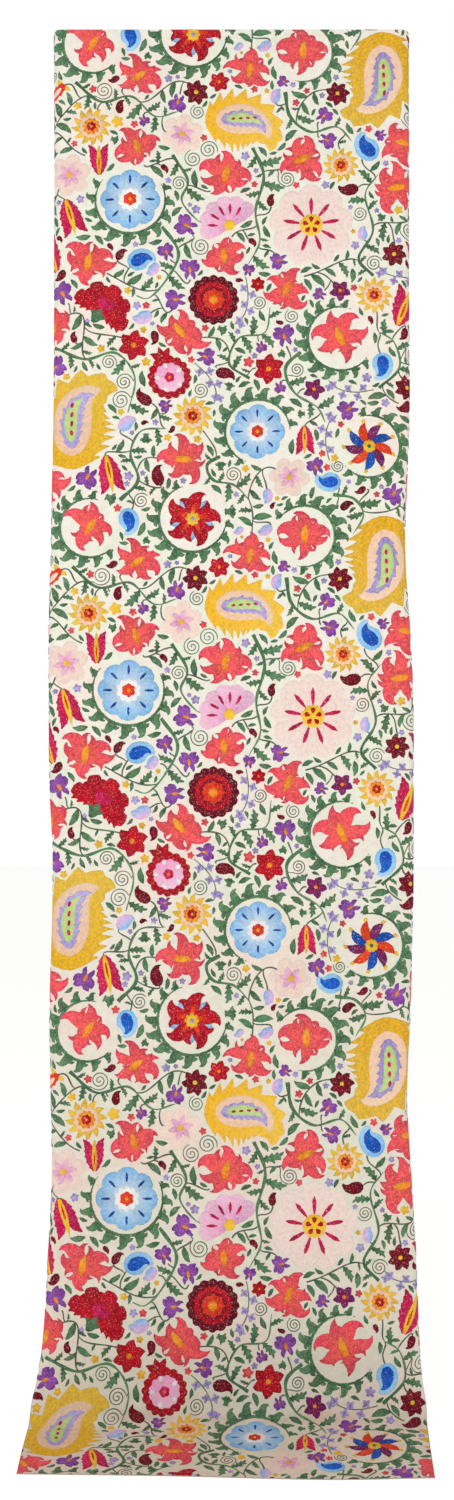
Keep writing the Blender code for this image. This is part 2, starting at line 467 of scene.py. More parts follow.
def ground_finish():
    """Cream cotton in a plain weave, with slubs and an uneven tint. Painted shade makes it darker and
    browner towards the floor and in the bend, and painted shadow lines darken its lower cut edges.
    """
    finish = Finish(bpy.data.materials.new("cream_cotton"))
    across, down, _ = finish.parts(finish.attribute("lay", "Vector"))
    flat = finish.vector(across, down)

    def stretched(grain, detail):
        return finish.noise(finish.vector(across * grain[0], down * grain[1]), 1.0, detail)

    tint = finish.noise(flat, TINT_GRAIN, 3.0).step(0.35, 0.62)
    colour = finish.mix(tint, opaque(GREEN_CREAM), opaque(CREAM))
    warmth = finish.noise(flat, WARM_GRAIN).step(0.48, 0.68)
    colour = finish.mix(warmth, colour, opaque(WARM_CREAM))
    slubs = stretched(WEFT_GRAIN, 2.0).step(0.55, 0.80) + stretched(WARP_GRAIN, 2.0).step(0.55, 0.80)
    colour = finish.mix(slubs * SLUB_SHARE, colour, opaque(SLUB))

    blotch = stretched(BLOTCH_GRAIN, 3.0)
    # Painted shade: browner towards the floor, and warmer and darker lower down the cloth, where less light
    # reaches
    painted_shade = (down + (blotch - 0.5) * FLOOR_SHADE_STRAY).step(FLOOR_SHADE_START, FLOOR_SHADE_FULL) * FLOOR_SHADE_SHARE
    dimming = down.step(DIM_START, DIM_FULL)
    painted_shade = painted_shade + dimming * DIM_SHARE
    # Painted shade in the bend: a blotchy brown band where the cloth turns onto the floor
    from_fold = down - FOLD_LINE + (finish.noise(flat, 5.0) - 0.5) * FOLD_STRAY
    fold_shade = 1.0 - (from_fold.size() / FOLD_WIDTH).step(0.0, 1.0)
    painted_shade = painted_shade + fold_shade * blotch.step(0.34, 0.62) * FOLD_SHADE_SHARE
    colour = finish.mix(painted_shade, colour, opaque(SHADE_BROWN))

    # Painted shadow: thin dark lines along the long edges near the floor and along the front edge
    side = 1.0 - (0.5 * CUT_WIDTH - across.size()).step(EDGE_SHADOW_START, SIDE_SHADOW_END)
    front = 1.0 - (CUT_LENGTH - down).step(EDGE_SHADOW_START, FRONT_SHADOW_END)
    edge_shadow = side * down.step(FLOOR_SHADE_START, FOLD_LINE) * SIDE_SHADOW + front * FRONT_SHADOW
    colour = finish.mix(edge_shadow, colour, opaque(EDGE_SHADOW))

    fleck = finish.noise(flat, FLECK_GRAIN)
    cloud = finish.noise(flat, CLOUD_GRAIN, 3.0)
    tone = TONE + fleck * FLECK_DEPTH + cloud * CLOUD_DEPTH - dimming * DIM_DEPTH
    colour = finish.mix(1.0, colour, finish.grey(tone), "MULTIPLY")
    yarns = (across * YARN_COUNT).wave() * (down * YARN_COUNT).wave()
    height = yarns * 0.35 + slubs * 0.5 + fleck * 0.5
    return finish.feed(
        Base_Color=colour,
        Roughness=0.92 - slubs * 0.06,
        Specular_IOR_Level=0.15,
        Normal=finish.bump(height, 0.0004, 0.6),
    )


ROW_PITCH = 2.2                   # chain-stitch rows, mm
LINK_LENGTH = 3.2                 # one link of the chain, mm
ROW_WANDER = 0.9                  # how far the rows stray, in rows
LINK_SHIFT = 0.37                 # how far each row's links start after those beside it, in links
BETWEEN_STITCHES = srgb(252, 226, 206)
GAP_SHARE = 0.36                  # how much of that colour shows where the stitches are open
SHADE = 0.69                      # shade of the darkest stitch, before the mottle
# The loop's share is painted shade in the grooves between rows and links of the chain; lot and mottle vary
# the tone at random
GROOVE_SHADE_DEPTH, LOT_DEPTH, MOTTLE_DEPTH = 0.20, 0.38, 1.05
RIM_START, RIM_END = 0.4, 1.5     # where the darker rim of a patch fades out, mm
RIM_DEPTH = 0.30
PALE_CALM = 0.65                  # how much less the palest dyes are shaded


def thread_finish():
    """Rows of chain stitch in the dye that each patch carries, darker along its rim, with painted shade in
    the grooves between rows and links.
    """
    finish = Finish(bpy.data.materials.new("chain_stitch"))
    dye = finish.attribute("dye", "Color")
    rim = finish.attribute("rim")
    run, row, patch = finish.parts(finish.attribute("stitch", "Vector"))
    flat = finish.vector(run, row, patch)

    rows = row / ROW_PITCH + finish.noise(flat, 0.10) * ROW_WANDER
    links = run / LINK_LENGTH + rows.floor() * LINK_SHIFT
    beside = ((rows % 1.0) - 0.5).size() * 2.0
    along_link = ((links % 1.0) - 0.5).size() * 2.0
    loop = (1.0 - beside**2.0) * (1.0 - 0.45 * along_link**3.0)
    link = finish.vector(rows.floor(), links.floor(), patch)
    lot = finish.node("ShaderNodeTexWhiteNoise", inputs={"Vector": link})
    mottle = finish.noise(flat, 0.16, 3.0)

    edge = 1.0 - rim.step(RIM_START, RIM_END)
    # Painted shade: loop darkens the dye in the grooves between stitch rows and links
    shade = SHADE + loop * GROOVE_SHADE_DEPTH + lot * LOT_DEPTH + (mottle - 0.5) * MOTTLE_DEPTH
    shade = shade * (1.0 - edge * RIM_DEPTH)
    gaps = finish.noise(flat, 0.40).step(0.57, 0.72) * GAP_SHARE
    depth = 1.0 - finish.lightness(dye).step(0.35, 0.75) * PALE_CALM
    colour = finish.mix(depth, dye, finish.grey(shade), "MULTIPLY")
    colour = finish.mix(gaps * (1.0 - edge), colour, opaque(BETWEEN_STITCHES))
    return finish.feed(
        Base_Color=colour,
        Roughness=0.72 - loop * 0.10,
        Specular_IOR_Level=0.09,
        Normal=finish.bump(loop + lot * 0.15, 0.0006, 0.8),
    )


# Outlines of the stitched patches, in mm with y up

def rotate(points, degrees):
    """Points turned anticlockwise about the origin."""
    a = math.radians(degrees)
    turn = np.array([[math.cos(a), math.sin(a)], [-math.sin(a), math.cos(a)]])
    return np.asarray(points, float) @ turn


def moved(outline, x=0.0, y=0.0, turn=0.0):
    """An outline turned clockwise by degrees, then moved."""
    return rotate(outline, -turn) + (x, y)


def round_to(radius, turn):
    """The point at a radius, clockwise from the top."""
    return rotate([[0.0, radius]], -turn)[0]


def through(points, step):
    """A smooth curve through a few points, with a point about every step."""
    p = np.asarray(points, float)
    q = np.vstack([2 * p[0] - p[1], p, 2 * p[-1] - p[-2]])
    result = []
    for i in range(len(p) - 1):
        a, b, c, d = q[i:i + 4]
        count = max(2, int(np.linalg.norm(c - b) / step) + 1)
        t = np.linspace(0.0, 1.0, count, endpoint=False)[:, None]
        curve = 2 * b + (c - a) * t + (2 * a - 5 * b + 4 * c - d) * t**2 + (3 * b - a - 3 * c + d) * t**3
        result.append(0.5 * curve)
    return np.vstack(result + [p[-1:]])


def spine(length, bend, hook, count):
    """A line that starts upwards and turns: bend evenly, hook mostly at its tip, in degrees."""
    t = np.linspace(0.0, 1.0, count)
    heading = np.radians(bend * t + hook * t**3)
    steps = np.stack([np.sin(heading), np.cos(heading)], 1) * (length / (count - 1))
    return np.vstack([[0.0, 0.0], np.cumsum(steps[:-1], 0)])


def measure_along(line):
    """Length along a line at each of its points."""
    return np.concatenate([[0.0], np.cumsum(np.linalg.norm(np.diff(line, axis=0), axis=1))])


def points_at(places, line):
    """The points at some lengths along a line."""
    length = measure_along(line)
    return np.stack([np.interp(places, length, line[:, k]) for k in (0, 1)], 1)


def sideways_of(line):
    """Unit vectors to the left of a line, at its points."""
    d = np.gradient(line, axis=0)
    d /= np.maximum(np.linalg.norm(d, axis=1), 1e-9)[:, None]
    return np.stack([-d[:, 1], d[:, 0]], 1)


def band(line, half):
    """The closed outline around a line, half wide to each side."""
    side = sideways_of(line) * np.asarray(half).reshape(-1, 1)
    return np.vstack([line + side, (line - side)[::-1]])


def swell(t, belly, base, point):
    """Width along a petal: base at the root, full at the belly, nothing at the tip."""
    near = np.clip(t / belly, 0, 1)
    rise = np.sqrt(1.0 - (1.0 - near) ** 2)
    if base is not None:
        rise = base + (1.0 - base) * np.sin(0.5 * np.pi * near)
    fall = np.cos(0.5 * np.pi * np.clip((t - belly) / (1.0 - belly), 0, 1)) ** point
    return np.where(t < belly, rise, fall)


def petal(length, width, bend=0.0, hook=0.0, belly=0.45, base=0.3, teeth=0, bite=0.3, point=0.9):
    """A petal or leaf from the origin upwards. base None gives a round root, teeth lean to the tip.

    belly is the share of the length at which it is widest, base its share of that width at the root.
    """
    t = np.linspace(0.0, 1.0, max(22, teeth * 7))
    half = 0.5 * width * swell(t, belly, base, point)
    if teeth:
        half = half * (1.0 - bite + bite * 1.6 * ((t * teeth) % 1.0) ** 1.5)
    half[-1] = 0.0
    return band(spine(length, bend, hook, len(t)), half)


def scallops(radius, count, depth, points_each=9, sharp=1.0, start=0.0):
    """A round outline of lobes: their depth is a share of the radius."""
    a = np.linspace(0.0, 2 * np.pi, count * points_each, endpoint=False)
    wave = np.abs(np.cos(0.5 * count * (a - math.radians(start)))) ** sharp
    r = radius * (1.0 - depth + depth * wave)
    return np.stack([r * np.sin(a), r * np.cos(a)], 1)


def oval(width, height, count=20):
    a = np.linspace(0.0, 2 * np.pi, count, endpoint=False)
    return np.stack([0.5 * width * np.sin(a), 0.5 * height * np.cos(a)], 1)


# Motifs: each is a list of patches (thread, outline, layer), drawn around the origin.
# Sizes in them are shares of the motif's size or radius, turns are in degrees clockwise.
# On layer LINE the outline is an open line, stitched as a thin stem.

LINE = 0


def all_round(count, start=0.0):
    """Even turns all the way round."""
    return [start + 360.0 * i / count for i in range(count)]


def fan(thread, outline, layer, turns, out=0.0, lift=0.0):
    """An outline at each of some turns, so far out from a point that is lift above the origin."""
    patches = []
    for turn in turns:
        x, y = round_to(out, turn)
        patches.append((thread, moved(outline, x, y + lift, turn), layer))
    return patches


def placed(patches, x, y, turn=0.0):
    """Patches turned clockwise by degrees, then moved."""
    return [(thread, moved(outline, x, y, turn), layer) for thread, outline, layer in patches]


LILY_COLUMNS = ("turn", "length", "width", "bend", "hook")
LILIES = {
    "open": (
        (4, 0.60, 0.23, -14, -120),
        (62, 0.58, 0.24, 22, 125),
        (-60, 0.58, 0.25, -20, -130),
        (120, 0.54, 0.20, -24, -110),
        (-126, 0.56, 0.20, 22, 120),
        (182, 0.48, 0.17, 16, 90),
    ),
    "trumpet": (
        (-36, 0.66, 0.24, -30, -140),
        (34, 0.66, 0.24, 30, 140),
        (0, 0.56, 0.20, 8, 60),
        (-98, 0.54, 0.20, -30, 120),
        (98, 0.54, 0.20, 30, -120),
        (172, 0.56, 0.22, 18, 90),
        (-170, 0.40, 0.14, -18, -110),
    ),
    "side": (
        (-70, 0.64, 0.24, -26, -130),
        (-20, 0.64, 0.24, 14, -110),
        (36, 0.64, 0.22, 30, 135),
        (96, 0.54, 0.20, 34, 115),
        (164, 0.40, 0.16, -20, 100),
        (200, 0.62, 0.21, -30, -110),
    ),
    "split": (
        (-28, 0.64, 0.25, -26, -125),
        (34, 0.60, 0.25, 24, 130),
        (-96, 0.54, 0.20, 18, 120),
        (96, 0.58, 0.21, 10, -120),
        (158, 0.46, 0.18, 26, 110),
        (-160, 0.52, 0.18, -26, -100),
    ),
    "drooping": (
        (-120, 0.56, 0.22, -30, -130),
        (120, 0.56, 0.22, 30, 130),
        (-62, 0.50, 0.20, 24, 110),
        (62, 0.50, 0.20, -24, -110),
        (178, 0.72, 0.24, -26, -95),
        (0, 0.40, 0.20, 10, 60),
    ),
}


def lily(size, form, rng):
    """A lily: curled petals with spurs, round an orange heart."""
    patches = [("coral", scallops(0.20 * size, 5, 0.2, 7, 1.0, 20), 3)]
    for row in rows_of(LILIES[form], LILY_COLUMNS):
        length = row["length"] * size * rng.uniform(0.88, 1.12)
        width = row["width"] * size * rng.uniform(0.98, 1.28)
        turn = row["turn"] + rng.uniform(-8, 8)
        hook = row["hook"] * rng.uniform(0.75, 1.2)
        side = math.copysign(1.0, hook)
        spur = petal(0.80 * length, 0.62 * width, -14 * side, -120 * side, 0.36, 0.7, point=1.3)
        main = petal(length, width, row["bend"], hook, 0.38, 0.5, point=1.2)
        patches.append(("coral", moved(spur, turn=turn - 6 * side), 3))
        patches.append(("coral", moved(main, turn=turn), 3))
    heart = petal(0.40 * size, 0.15 * size, 0, 20, 0.5, None)
    patches.append(("heart", moved(heart, y=-0.16 * size), 4))
    return patches


BELL_COLUMNS = ("turn", "length", "width", "bend", "hook")
BELL = (
    (-78, 0.52, 0.32, 20, 90),
    (78, 0.52, 0.32, -20, -90),
    (-30, 0.55, 0.34, 0, -40),
    (30, 0.55, 0.34, 0, 40),
    (-142, 0.48, 0.20, -10, -70),
    (142, 0.48, 0.20, 10, 70),
)


def bell(size):
    """A small purple flower: frilled dome, hanging tips and a gold heart."""
    patches = []
    for row in rows_of(BELL, BELL_COLUMNS):
        outline = petal(row["length"] * size, row["width"] * size, row["bend"], row["hook"], 0.5, 0.5)
        patches.append(("purple", moved(outline, turn=row["turn"]), 3))
    patches.append(("heart", oval(0.16 * size, 0.32 * size), 4))
    return patches


def star_flower(size, thread, heart, count, wide=0.36):
    """A small open flower with pointed petals."""
    petals = fan(thread, petal(0.52 * size, wide * size, 8, 25, 0.5, 0.45), 3, all_round(count))
    return petals + [(heart, oval(0.2 * size, 0.2 * size, 12), 4)]


def floret(size, thread):
    """A single small flower."""
    return [(thread, scallops(0.5 * size, 5, 0.45, 7, 0.9), 3)]


def drop(size, thread, halo=None):
    """A comma-shaped almond, with a pale halo round it if one is named."""
    patches = []
    if halo:
        outline = petal(1.16 * size, 0.80 * size, 10, 105, 0.40, None)
        patches.append((halo, moved(outline, y=-0.52 * size), 2))
    outline = petal(0.98 * size, 0.48 * size, 8, 125, 0.34, None, point=1.2)
    return patches + [(thread, moved(outline, y=-0.42 * size), 3)]


def soft_bud(size):
    """A half-moon bud that fades from pink to blue, with a small gold floret beside it."""
    outline = petal(size, 0.62 * size, 30, 60, 0.45, None)
    patches = [("bud", moved(outline, y=-0.5 * size), 3)]
    return patches + [("gold", moved(scallops(0.17 * size, 5, 0.4, 7), -0.42 * size, 0.30 * size), 3)]


def leaf(length, width, side=1):
    return [("leaf", petal(length, width, 18 * side, 32 * side, 0.42, 0.12), 2)]


def toothed_leaf(length, width, side):
    return [("leaf", petal(length, width, 14 * side, 46 * side, 0.45, 0.3, 4, 0.5), 2)]


def hooked_leaf(size, side=1):
    """A hooked leaf with a spur behind it, rooted at the origin."""
    main = petal(size, 0.50 * size, 30 * side, 130 * side, 0.32, 0.9, point=1.15)
    spur = petal(0.70 * size, 0.40 * size, -30 * side, -130 * side, 0.32, 0.9, point=1.15)
    return [("leaf", moved(main, turn=-12 * side), 2), ("leaf", moved(spur, turn=-46 * side), 2)]


def rosette(size):
    """Dark scalloped rings round a warm heart."""
    r = 0.5 * size
    return [
        ("maroon", scallops(r, 16, 0.09), 2),
        ("crimson", scallops(0.74 * r, 13, 0.10, start=10), 3),
        ("wine", scallops(0.56 * r, 10, 0.12), 4),
        ("red", scallops(0.46 * r, 8, 0.16), 5),
        ("heart", scallops(0.20 * r, 6, 0.2, 6), 6),
    ]


def pale_rose(size):
    """A pale rose with a spiky magenta star and a gold heart."""
    r = 0.5 * size
    patches = [
        ("blush", scallops(1.06 * r, 9, 0.16, 14, 0.7), 1),
        ("blush_deep", scallops(0.66 * r, 9, 0.14, 10, 0.7, 20), 2),
    ]
    patches += fan("magenta", petal(0.46 * r, 0.12 * r, 0, 0, 0.6, 0.5), 3, all_round(9), 0.28 * r)
    patches.append(("gold", scallops(0.30 * r, 16, 0.10, 5), 4))
    return patches + fan("crimson", petal(0.18 * r, 0.14 * r, 0, 0, 0.66, 0.2), 5, all_round(5), 0.06 * r)


def blue_wheel(size):
    """A round blue flower: lobes, a white ring, dark dashes and a red heart."""
    r = 0.5 * size
    patches = [("sky_pale", scallops(0.97 * r, 8, 0.15, 12, 0.6), 1)]
    patches += fan("sky", petal(1.0 * r, 0.68 * r, 0, 0, 0.74, 0.10, point=0.5), 2, all_round(8, 2))
    patches.append(("white", scallops(0.42 * r, 10, 0.18, 6), 3))
    patches += fan("navy", petal(0.36 * r, 0.11 * r, 0, 0, 0.55, 0.5), 3, all_round(8), 0.50 * r)
    patches.append(("red", scallops(0.24 * r, 6, 0.16, 7), 4))
    return patches + [("heart", oval(0.16 * r, 0.16 * r, 10), 5)]


def pink_fan(size):
    """A shell-shaped pink flower with crimson dashes and a gold heart at its foot."""
    foot = -0.22 * size
    lobe = petal(0.66 * size, 0.34 * size, 0, 0, 0.78, 0.2, point=0.5)
    dash = petal(0.26 * size, 0.08 * size, 0, 0, 0.6, 0.4)
    patches = fan("pink", lobe, 2, (-75, -45, -15, 15, 45, 75), lift=foot)
    patches += fan("magenta", dash, 3, (-60, -30, 0, 30, 60), 0.24 * size, foot)
    return patches + [("gold", moved(scallops(0.13 * size, 6, 0.2), y=-0.20 * size), 4)]


def wheel(size):
    """A wheel of curved petals, plum, blue and red by turns, round a gold heart."""
    r = 0.5 * size
    patches = []
    for i in range(9):
        thread = ("plum", "navy", "red")[i % 3]
        patches.append((thread, moved(petal(0.96 * r, 0.34 * r, 55, 20, 0.6, 0.25), turn=40 * i), 3))
        x, y = rotate([[0.36 * r, 0.80 * r]], -40 * i)[0]
        tip = petal(0.20 * r, 0.14 * r, 40, 20, 0.4, 0.4)
        patches.append(("gold", moved(tip, x, y, 40 * i + 50), 4))
    patches.append(("gold", scallops(0.26 * r, 9, 0.14, 6), 5))
    return patches + [("leaf", oval(0.18 * r, 0.18 * r, 10), 6)]


def carnation(size):
    """A fan of toothed crimson petals on a green cup."""
    outline = petal(0.62 * size, 0.40 * size, 0, 0, 0.72, 0.15, 5, 0.26, 0.45)
    tongue = petal(0.34 * size, 0.15 * size, 0, 0, 0.6, 0.3)
    patches = fan("crimson", outline, 3, (-84, 84, -42, 42, 0), lift=-0.14 * size)
    patches += fan("magenta", tongue, 4, (-30, 30, 0), lift=-0.12 * size)
    patches.append(("leaf", moved(petal(0.34 * size, 0.20 * size, 0, 0, 0.4, 0.3), y=-0.40 * size), 5))
    for side in (-1, 1):
        cup = petal(0.24 * size, 0.10 * size, 30 * side, 50 * side, 0.4, 0.5)
        patches.append(("leaf", moved(cup, y=-0.32 * size, turn=35 * side), 5))
    return patches


def pomegranate(size):
    """A round fruit: toothed crimson rim, pink flesh, white seeds and a crown."""
    r = 0.44 * size
    patches = []
    for turn in (-26, 0, 26):
        point = petal(0.34 * size, 0.16 * size, 0.6 * turn, turn, 0.4, 0.5)
        patches.append(("crimson", moved(point, y=0.30 * size, turn=turn), 2))
    patches.append(("crimson", scallops(r, 16, 0.10, 6), 3))
    patches.append(("pink", scallops(0.70 * r, 12, 0.10, 7), 4))
    patches += fan("white", petal(0.30 * r, 0.22 * r, 0, 0, 0.5, 0.5), 5, all_round(5), 0.40 * r)
    patches.append(("magenta", scallops(0.26 * r, 5, 0.2, 7), 5))
    return patches + [("heart", oval(0.18 * r, 0.18 * r, 10), 6)]


def tulip(size):
    """A magenta tulip with a gold tongue."""
    patches = []
    for side in (-1, 1):
        half = petal(0.98 * size, 0.34 * size, 30 * side, -65 * side, 0.42, 0.35, 6, 0.16)
        patches.append(("magenta", moved(half, y=-0.45 * size, turn=-18 * side), 3))
    patches.append(("gold", moved(petal(0.92 * size, 0.17 * size, 0, 8, 0.4, 0.5), y=-0.45 * size), 4))
    return patches + [("red", moved(petal(0.46 * size, 0.07 * size, 0, 0, 0.4, 0.5), y=-0.3 * size), 5)]


def star_bloom(size):
    """A crimson flower of five curled petals with blue between them."""
    slip = petal(0.38 * size, 0.16 * size, 0, 0, 0.6, 0.4)
    curled = petal(0.56 * size, 0.26 * size, 14, 110, 0.46, 0.4, point=1.1)
    spur = petal(0.46 * size, 0.18 * size, -10, -110, 0.46, 0.5, point=1.1)
    stripe = petal(0.30 * size, 0.09 * size, 8, 20, 0.5, 0.4)
    patches = []
    for turn in all_round(5):
        patches.append(("sky", moved(slip, turn=turn + 36), 2))
        patches.append(("crimson", moved(curled, turn=turn), 3))
        patches.append(("crimson", moved(spur, turn=turn - 10), 3))
        patches.append(("red", moved(stripe, turn=turn + 2), 4))
    patches.append(("gold", scallops(0.13 * size, 8, 0.22, 6), 5))
    return patches + [("lilac", oval(0.09 * size, 0.09 * size, 10), 6)]


ALMOND_COLUMNS = ("thread", "length", "width", "bend", "hook", "belly", "teeth", "bite", "foot")
ALMOND = (
    ("gold", 1.20, 0.86, 20, 110, 0.38, 9, 0.24, -0.57),
    ("peach", 0.92, 0.43, 18, 100, 0.38, 0, 0.0, -0.43),
    ("lilac", 0.74, 0.26, 16, 90, 0.40, 7, 0.20, -0.35),
    ("lime", 0.56, 0.15, 14, 70, 0.40, 0, 0.0, -0.28),
)


def almond(size):
    """A tall almond: flame-edged gold, peach inside, a lilac core with lime lights and red seeds."""
    patches = []
    for layer, row in enumerate(rows_of(ALMOND, ALMOND_COLUMNS), 1):
        length, width = row["length"] * size, row["width"] * size
        outline = petal(
            length, width, row["bend"], row["hook"], row["belly"], None, row["teeth"], row["bite"]
        )
        patches.append((row["thread"], moved(outline, y=row["foot"] * size), layer))
    seed = oval(0.045 * size, 0.075 * size, 10)
    for i in range(4):
        x, y = (0.01 + 0.012 * i) * size, (-0.17 + 0.10 * i) * size
        patches.append(("magenta", moved(seed, x, y, 8 * i), 5))
    return patches


def marigold(size):
    """A round gold flower: toothed rings with peach and a red heart."""
    r = 0.5 * size
    return fan("gold", petal(r, 0.30 * r, 14, 40, 0.6, 0.5, point=1.2), 2, all_round(12)) + [
        ("peach", scallops(0.62 * r, 12, 0.16, 7), 3),
        ("heart", scallops(0.44 * r, 10, 0.2, 7), 4),
        ("crimson", scallops(0.26 * r, 7, 0.2, 7), 5),
        ("gold", oval(0.16 * r, 0.16 * r, 10), 6),
    ]


def blush_bloom(size):
    """A soft pale flower of broad lobes with a small pink star and a gold heart."""
    patches = [("blush_deep", scallops(0.54 * size, 6, 0.30, 12, 0.8), 1)]
    patches += fan("pink", petal(0.34 * size, 0.16 * size, 6, 20, 0.5, 0.4), 3, all_round(6))
    return patches + [("gold", scallops(0.09 * size, 6, 0.2, 7), 4)]


def red_cap(size):
    """A round orange-red bud in a green cup, with a blush tip."""
    patches = []
    for side in (-1, 1):
        cup = petal(0.6 * size, 0.3 * size, 30 * side, 60 * side, 0.4, 0.5)
        patches.append(("leaf", moved(cup, 0.05 * side * size, -0.3 * size, 50 * side), 2))
    patches.append(("blush_deep", moved(petal(0.36 * size, 0.26 * size, 0, 0, 0.5, 0.7), y=0.14 * size), 2))
    patches.append(("red", moved(scallops(0.26 * size, 7, 0.12, 7), y=-0.02 * size), 3))
    return patches + [("heart", oval(0.16 * size, 0.12 * size, 10), 4)]


def red_moon(size):
    """A red half moon with a toothed inner edge and gold at its foot."""
    patches = [
        ("red", moved(petal(size, 0.44 * size, 40, 90, 0.45, 0.4, 6, 0.2), y=-0.5 * size), 3),
        ("blush_deep", moved(petal(0.62 * size, 0.20 * size, 36, 60, 0.45, 0.4), y=-0.34 * size), 4),
    ]
    for side in (-1, 1):
        slip = petal(0.30 * size, 0.14 * size, 20 * side, 30 * side, 0.5, 0.4)
        patches.append(("gold", moved(slip, y=-0.46 * size, turn=80 * side), 2))
    return patches


SPRIG_FOOT = -0.6                 # a sprig's root and other motifs' foot, from the middle, in sizes
MOTIF_FOOT = -0.42
SPRIG_FLOWER = 18                 # size of a flower on a sprig, mm, and how far it stands off the twig
SPRIG_FLOWER_OUT = 9


def sprig(size):
    """A bent twig with small lilac flowers on both sides."""
    twig = spine(size * 1.5, 30, 60, 14)
    patches = [("stem", twig, LINE)]
    for k in range(2, 14, 2):
        turn = 60 if (k // 2) % 2 else -60
        x, y = moved([[0, SPRIG_FLOWER_OUT]], *twig[k], turn)[0]
        patches += placed(star_flower(SPRIG_FLOWER, "lilac", "lilac_deep", 4), x, y, turn)
    return placed(patches, 0.0, SPRIG_FOOT * size)


SPIRAL_TURNS = 2.4


def spiral_line(size):
    """The line of a small spiral, from its middle outwards."""
    t = np.linspace(0.0, 1.0, 46)
    a = 2 * np.pi * SPIRAL_TURNS * t
    r = 0.5 * size * (0.08 + 0.92 * t)
    return np.stack([r * np.sin(a), r * np.cos(a)], 1)


def spiral(size):
    return [("stem", spiral_line(size), LINE)]


def leafy_twig(size, rng):
    """A thin bent twig with leaves on both sides and a small flower at its tip."""
    side = rng.choice((-1, 1))
    twig = spine(size, 50 * side, 40 * side, 16)
    patches = [("stem", twig, LINE)]
    for k in range(2, 14, 3):
        side = -side
        heading = math.degrees(math.atan2(*(twig[k + 1] - twig[k])))
        long = size * rng.uniform(0.28, 0.40)
        patches += placed(leaf(long, 0.38 * long, side), *twig[k], heading + 52 * side)
    tip = floret(0.24 * size, rng.choice(("gold", "lilac", "coral", "purple")))
    patches += placed(tip, *twig[-1])
    return placed(patches, 0.0, -0.5 * size)


def scroll(size):
    """A pair of hooked leaves back to back."""
    return hooked_leaf(0.62 * size, 1) + hooked_leaf(0.62 * size, -1)


CURL_GAP = 9.0                    # from a flower to the vine that curls round it, mm
CURL_VINE = 6.5                   # width of that vine, mm
CURL_LEAF = 33.0                  # its largest leaf, mm


def curled_vine(radius, start, sweep, leaves):
    """A vine curled round a flower, with hooked leaves outside, clockwise from start degrees."""
    t = np.linspace(0.0, 1.0, 40)
    a = np.radians(start + sweep * t)
    line = np.stack([radius * np.sin(a), radius * np.cos(a)], 1)
    half = 0.5 * CURL_VINE * np.clip(np.sin(np.pi * t) ** 0.5, 0.25, 1.0)
    patches = [("leaf", band(line, half), 1)]
    for i in range(leaves):
        share = (i + 0.5) / leaves
        turn = start + sweep * share
        size = CURL_LEAF * (0.55 + 0.45 * math.sin(math.pi * share))
        patches += placed(hooked_leaf(size), *round_to(radius, turn), turn)
    return patches


# Layout of one repeat of the design, which joins itself on all four sides

TILE_WIDTH = 730.0
TILE_LENGTH = 957.0
CELL = 3.0                        # grid on which free room is kept, mm
FAR = 60.0                        # distance up to which room is kept, mm
DESIGN_SEED = 11

FIND_TRIES = 500                  # places tried for a motif
SLACK_REACH = 20.0                # room beyond this doesn't count as slack, mm
SNUG_SLACK = 8.0                  # mean slack around a motif that is taken at once, mm

STEM_WIDTH = 3.1
SPIRAL_WIDTH = 2.1
STEM_SHORTEST, STEM_REACH = 9.0, 160.0
STEM_TURNS = (0, 35, -35, 70, -70, 110, -110)    # ways round a flower in which its stem can leave it
STEM_GOALS = 40                   # joints tried, the nearest ahead first
STEM_AHEAD = 1.6                  # what a joint costs: its distance, times this less how far it is ahead
STEM_CLEAR = 0.2                  # bare ground beside a stem, mm, apart from its first and last lengths
STEM_FIRST, STEM_LAST = 7, 6
BEND_COLUMNS = ("pull", "sway")   # ways to bend a stem: how far it starts straight on, and sideways
BENDS = ((0.45, 0.0), (0.45, 0.35), (0.45, -0.35), (0.25, 0.0), (0.7, 0.35), (0.7, -0.35))

PERCH_COLUMNS = ("shrink", "spread")    # ways to set a leaf on a stem: its size and its angle
PERCHES = ((1.0, 48), (1.0, 70), (0.75, 48), (0.75, 30), (0.55, 60))
PERCH_CLEAR = 1.2                 # bare ground round a leaf on a stem, mm

# Leaves along a line: the length from one to the next on the same side, their sizes, mm, and kinds
VINE_LEAVES = (38.0, (32, 46), ("hooked", "hooked", "toothed"))
STEM_LEAVES = (30.0, (26, 40), ("plain", "plain", "toothed"))

# Ground that a motif takes beyond its own patches, and that it needs to be free, mm
BIG_MARGIN, STEM_MARGIN, LEAF_MARGIN, MOTIF_MARGIN, FILL_MARGIN = 2.5, 0.5, 2.2, 2.0, 1.7
MOTIF_GAP = 0.7

BIG_COLUMNS = ("kind", "x", "y", "turn", "size", "curl_start", "curl_sweep", "leaves")
BIG = (
    ("pale_rose", 520, 800, 0, 154, 0, 0, 0),
    ("blue_wheel", 168, 850, 0, 118, 60, 250, 11),
    ("rosette", 330, 655, 0, 100, 0, 0, 0),
    ("trumpet_lily", 575, 575, -25, 108, 150, 255, 12),
    ("carnation", 118, 640, 35, 98, 0, 0, 0),
    ("almond", 52, 420, -6, 178, 0, 0, 0),
    ("almond", 668, 130, 172, 178, 0, 0, 0),
    ("blue_wheel", 415, 395, 0, 108, 200, 250, 11),
    ("pomegranate", 245, 500, -20, 98, 0, 0, 0),
    ("wheel", 630, 365, 0, 104, -20, 250, 11),
    ("star_bloom", 290, 225, 0, 112, 90, 255, 12),
    ("open_lily", 505, 190, 0, 100, -60, 255, 11),
    ("side_lily", 92, 205, 30, 96, 100, 250, 10),
    ("tulip", 700, 640, 20, 86, 0, 0, 0),
    ("pink_fan", 352, 820, -30, 92, 0, 0, 0),
    ("tulip", 10, 745, -25, 82, 0, 0, 0),
    ("almond", 392, 62, 80, 140, 0, 0, 0),
)

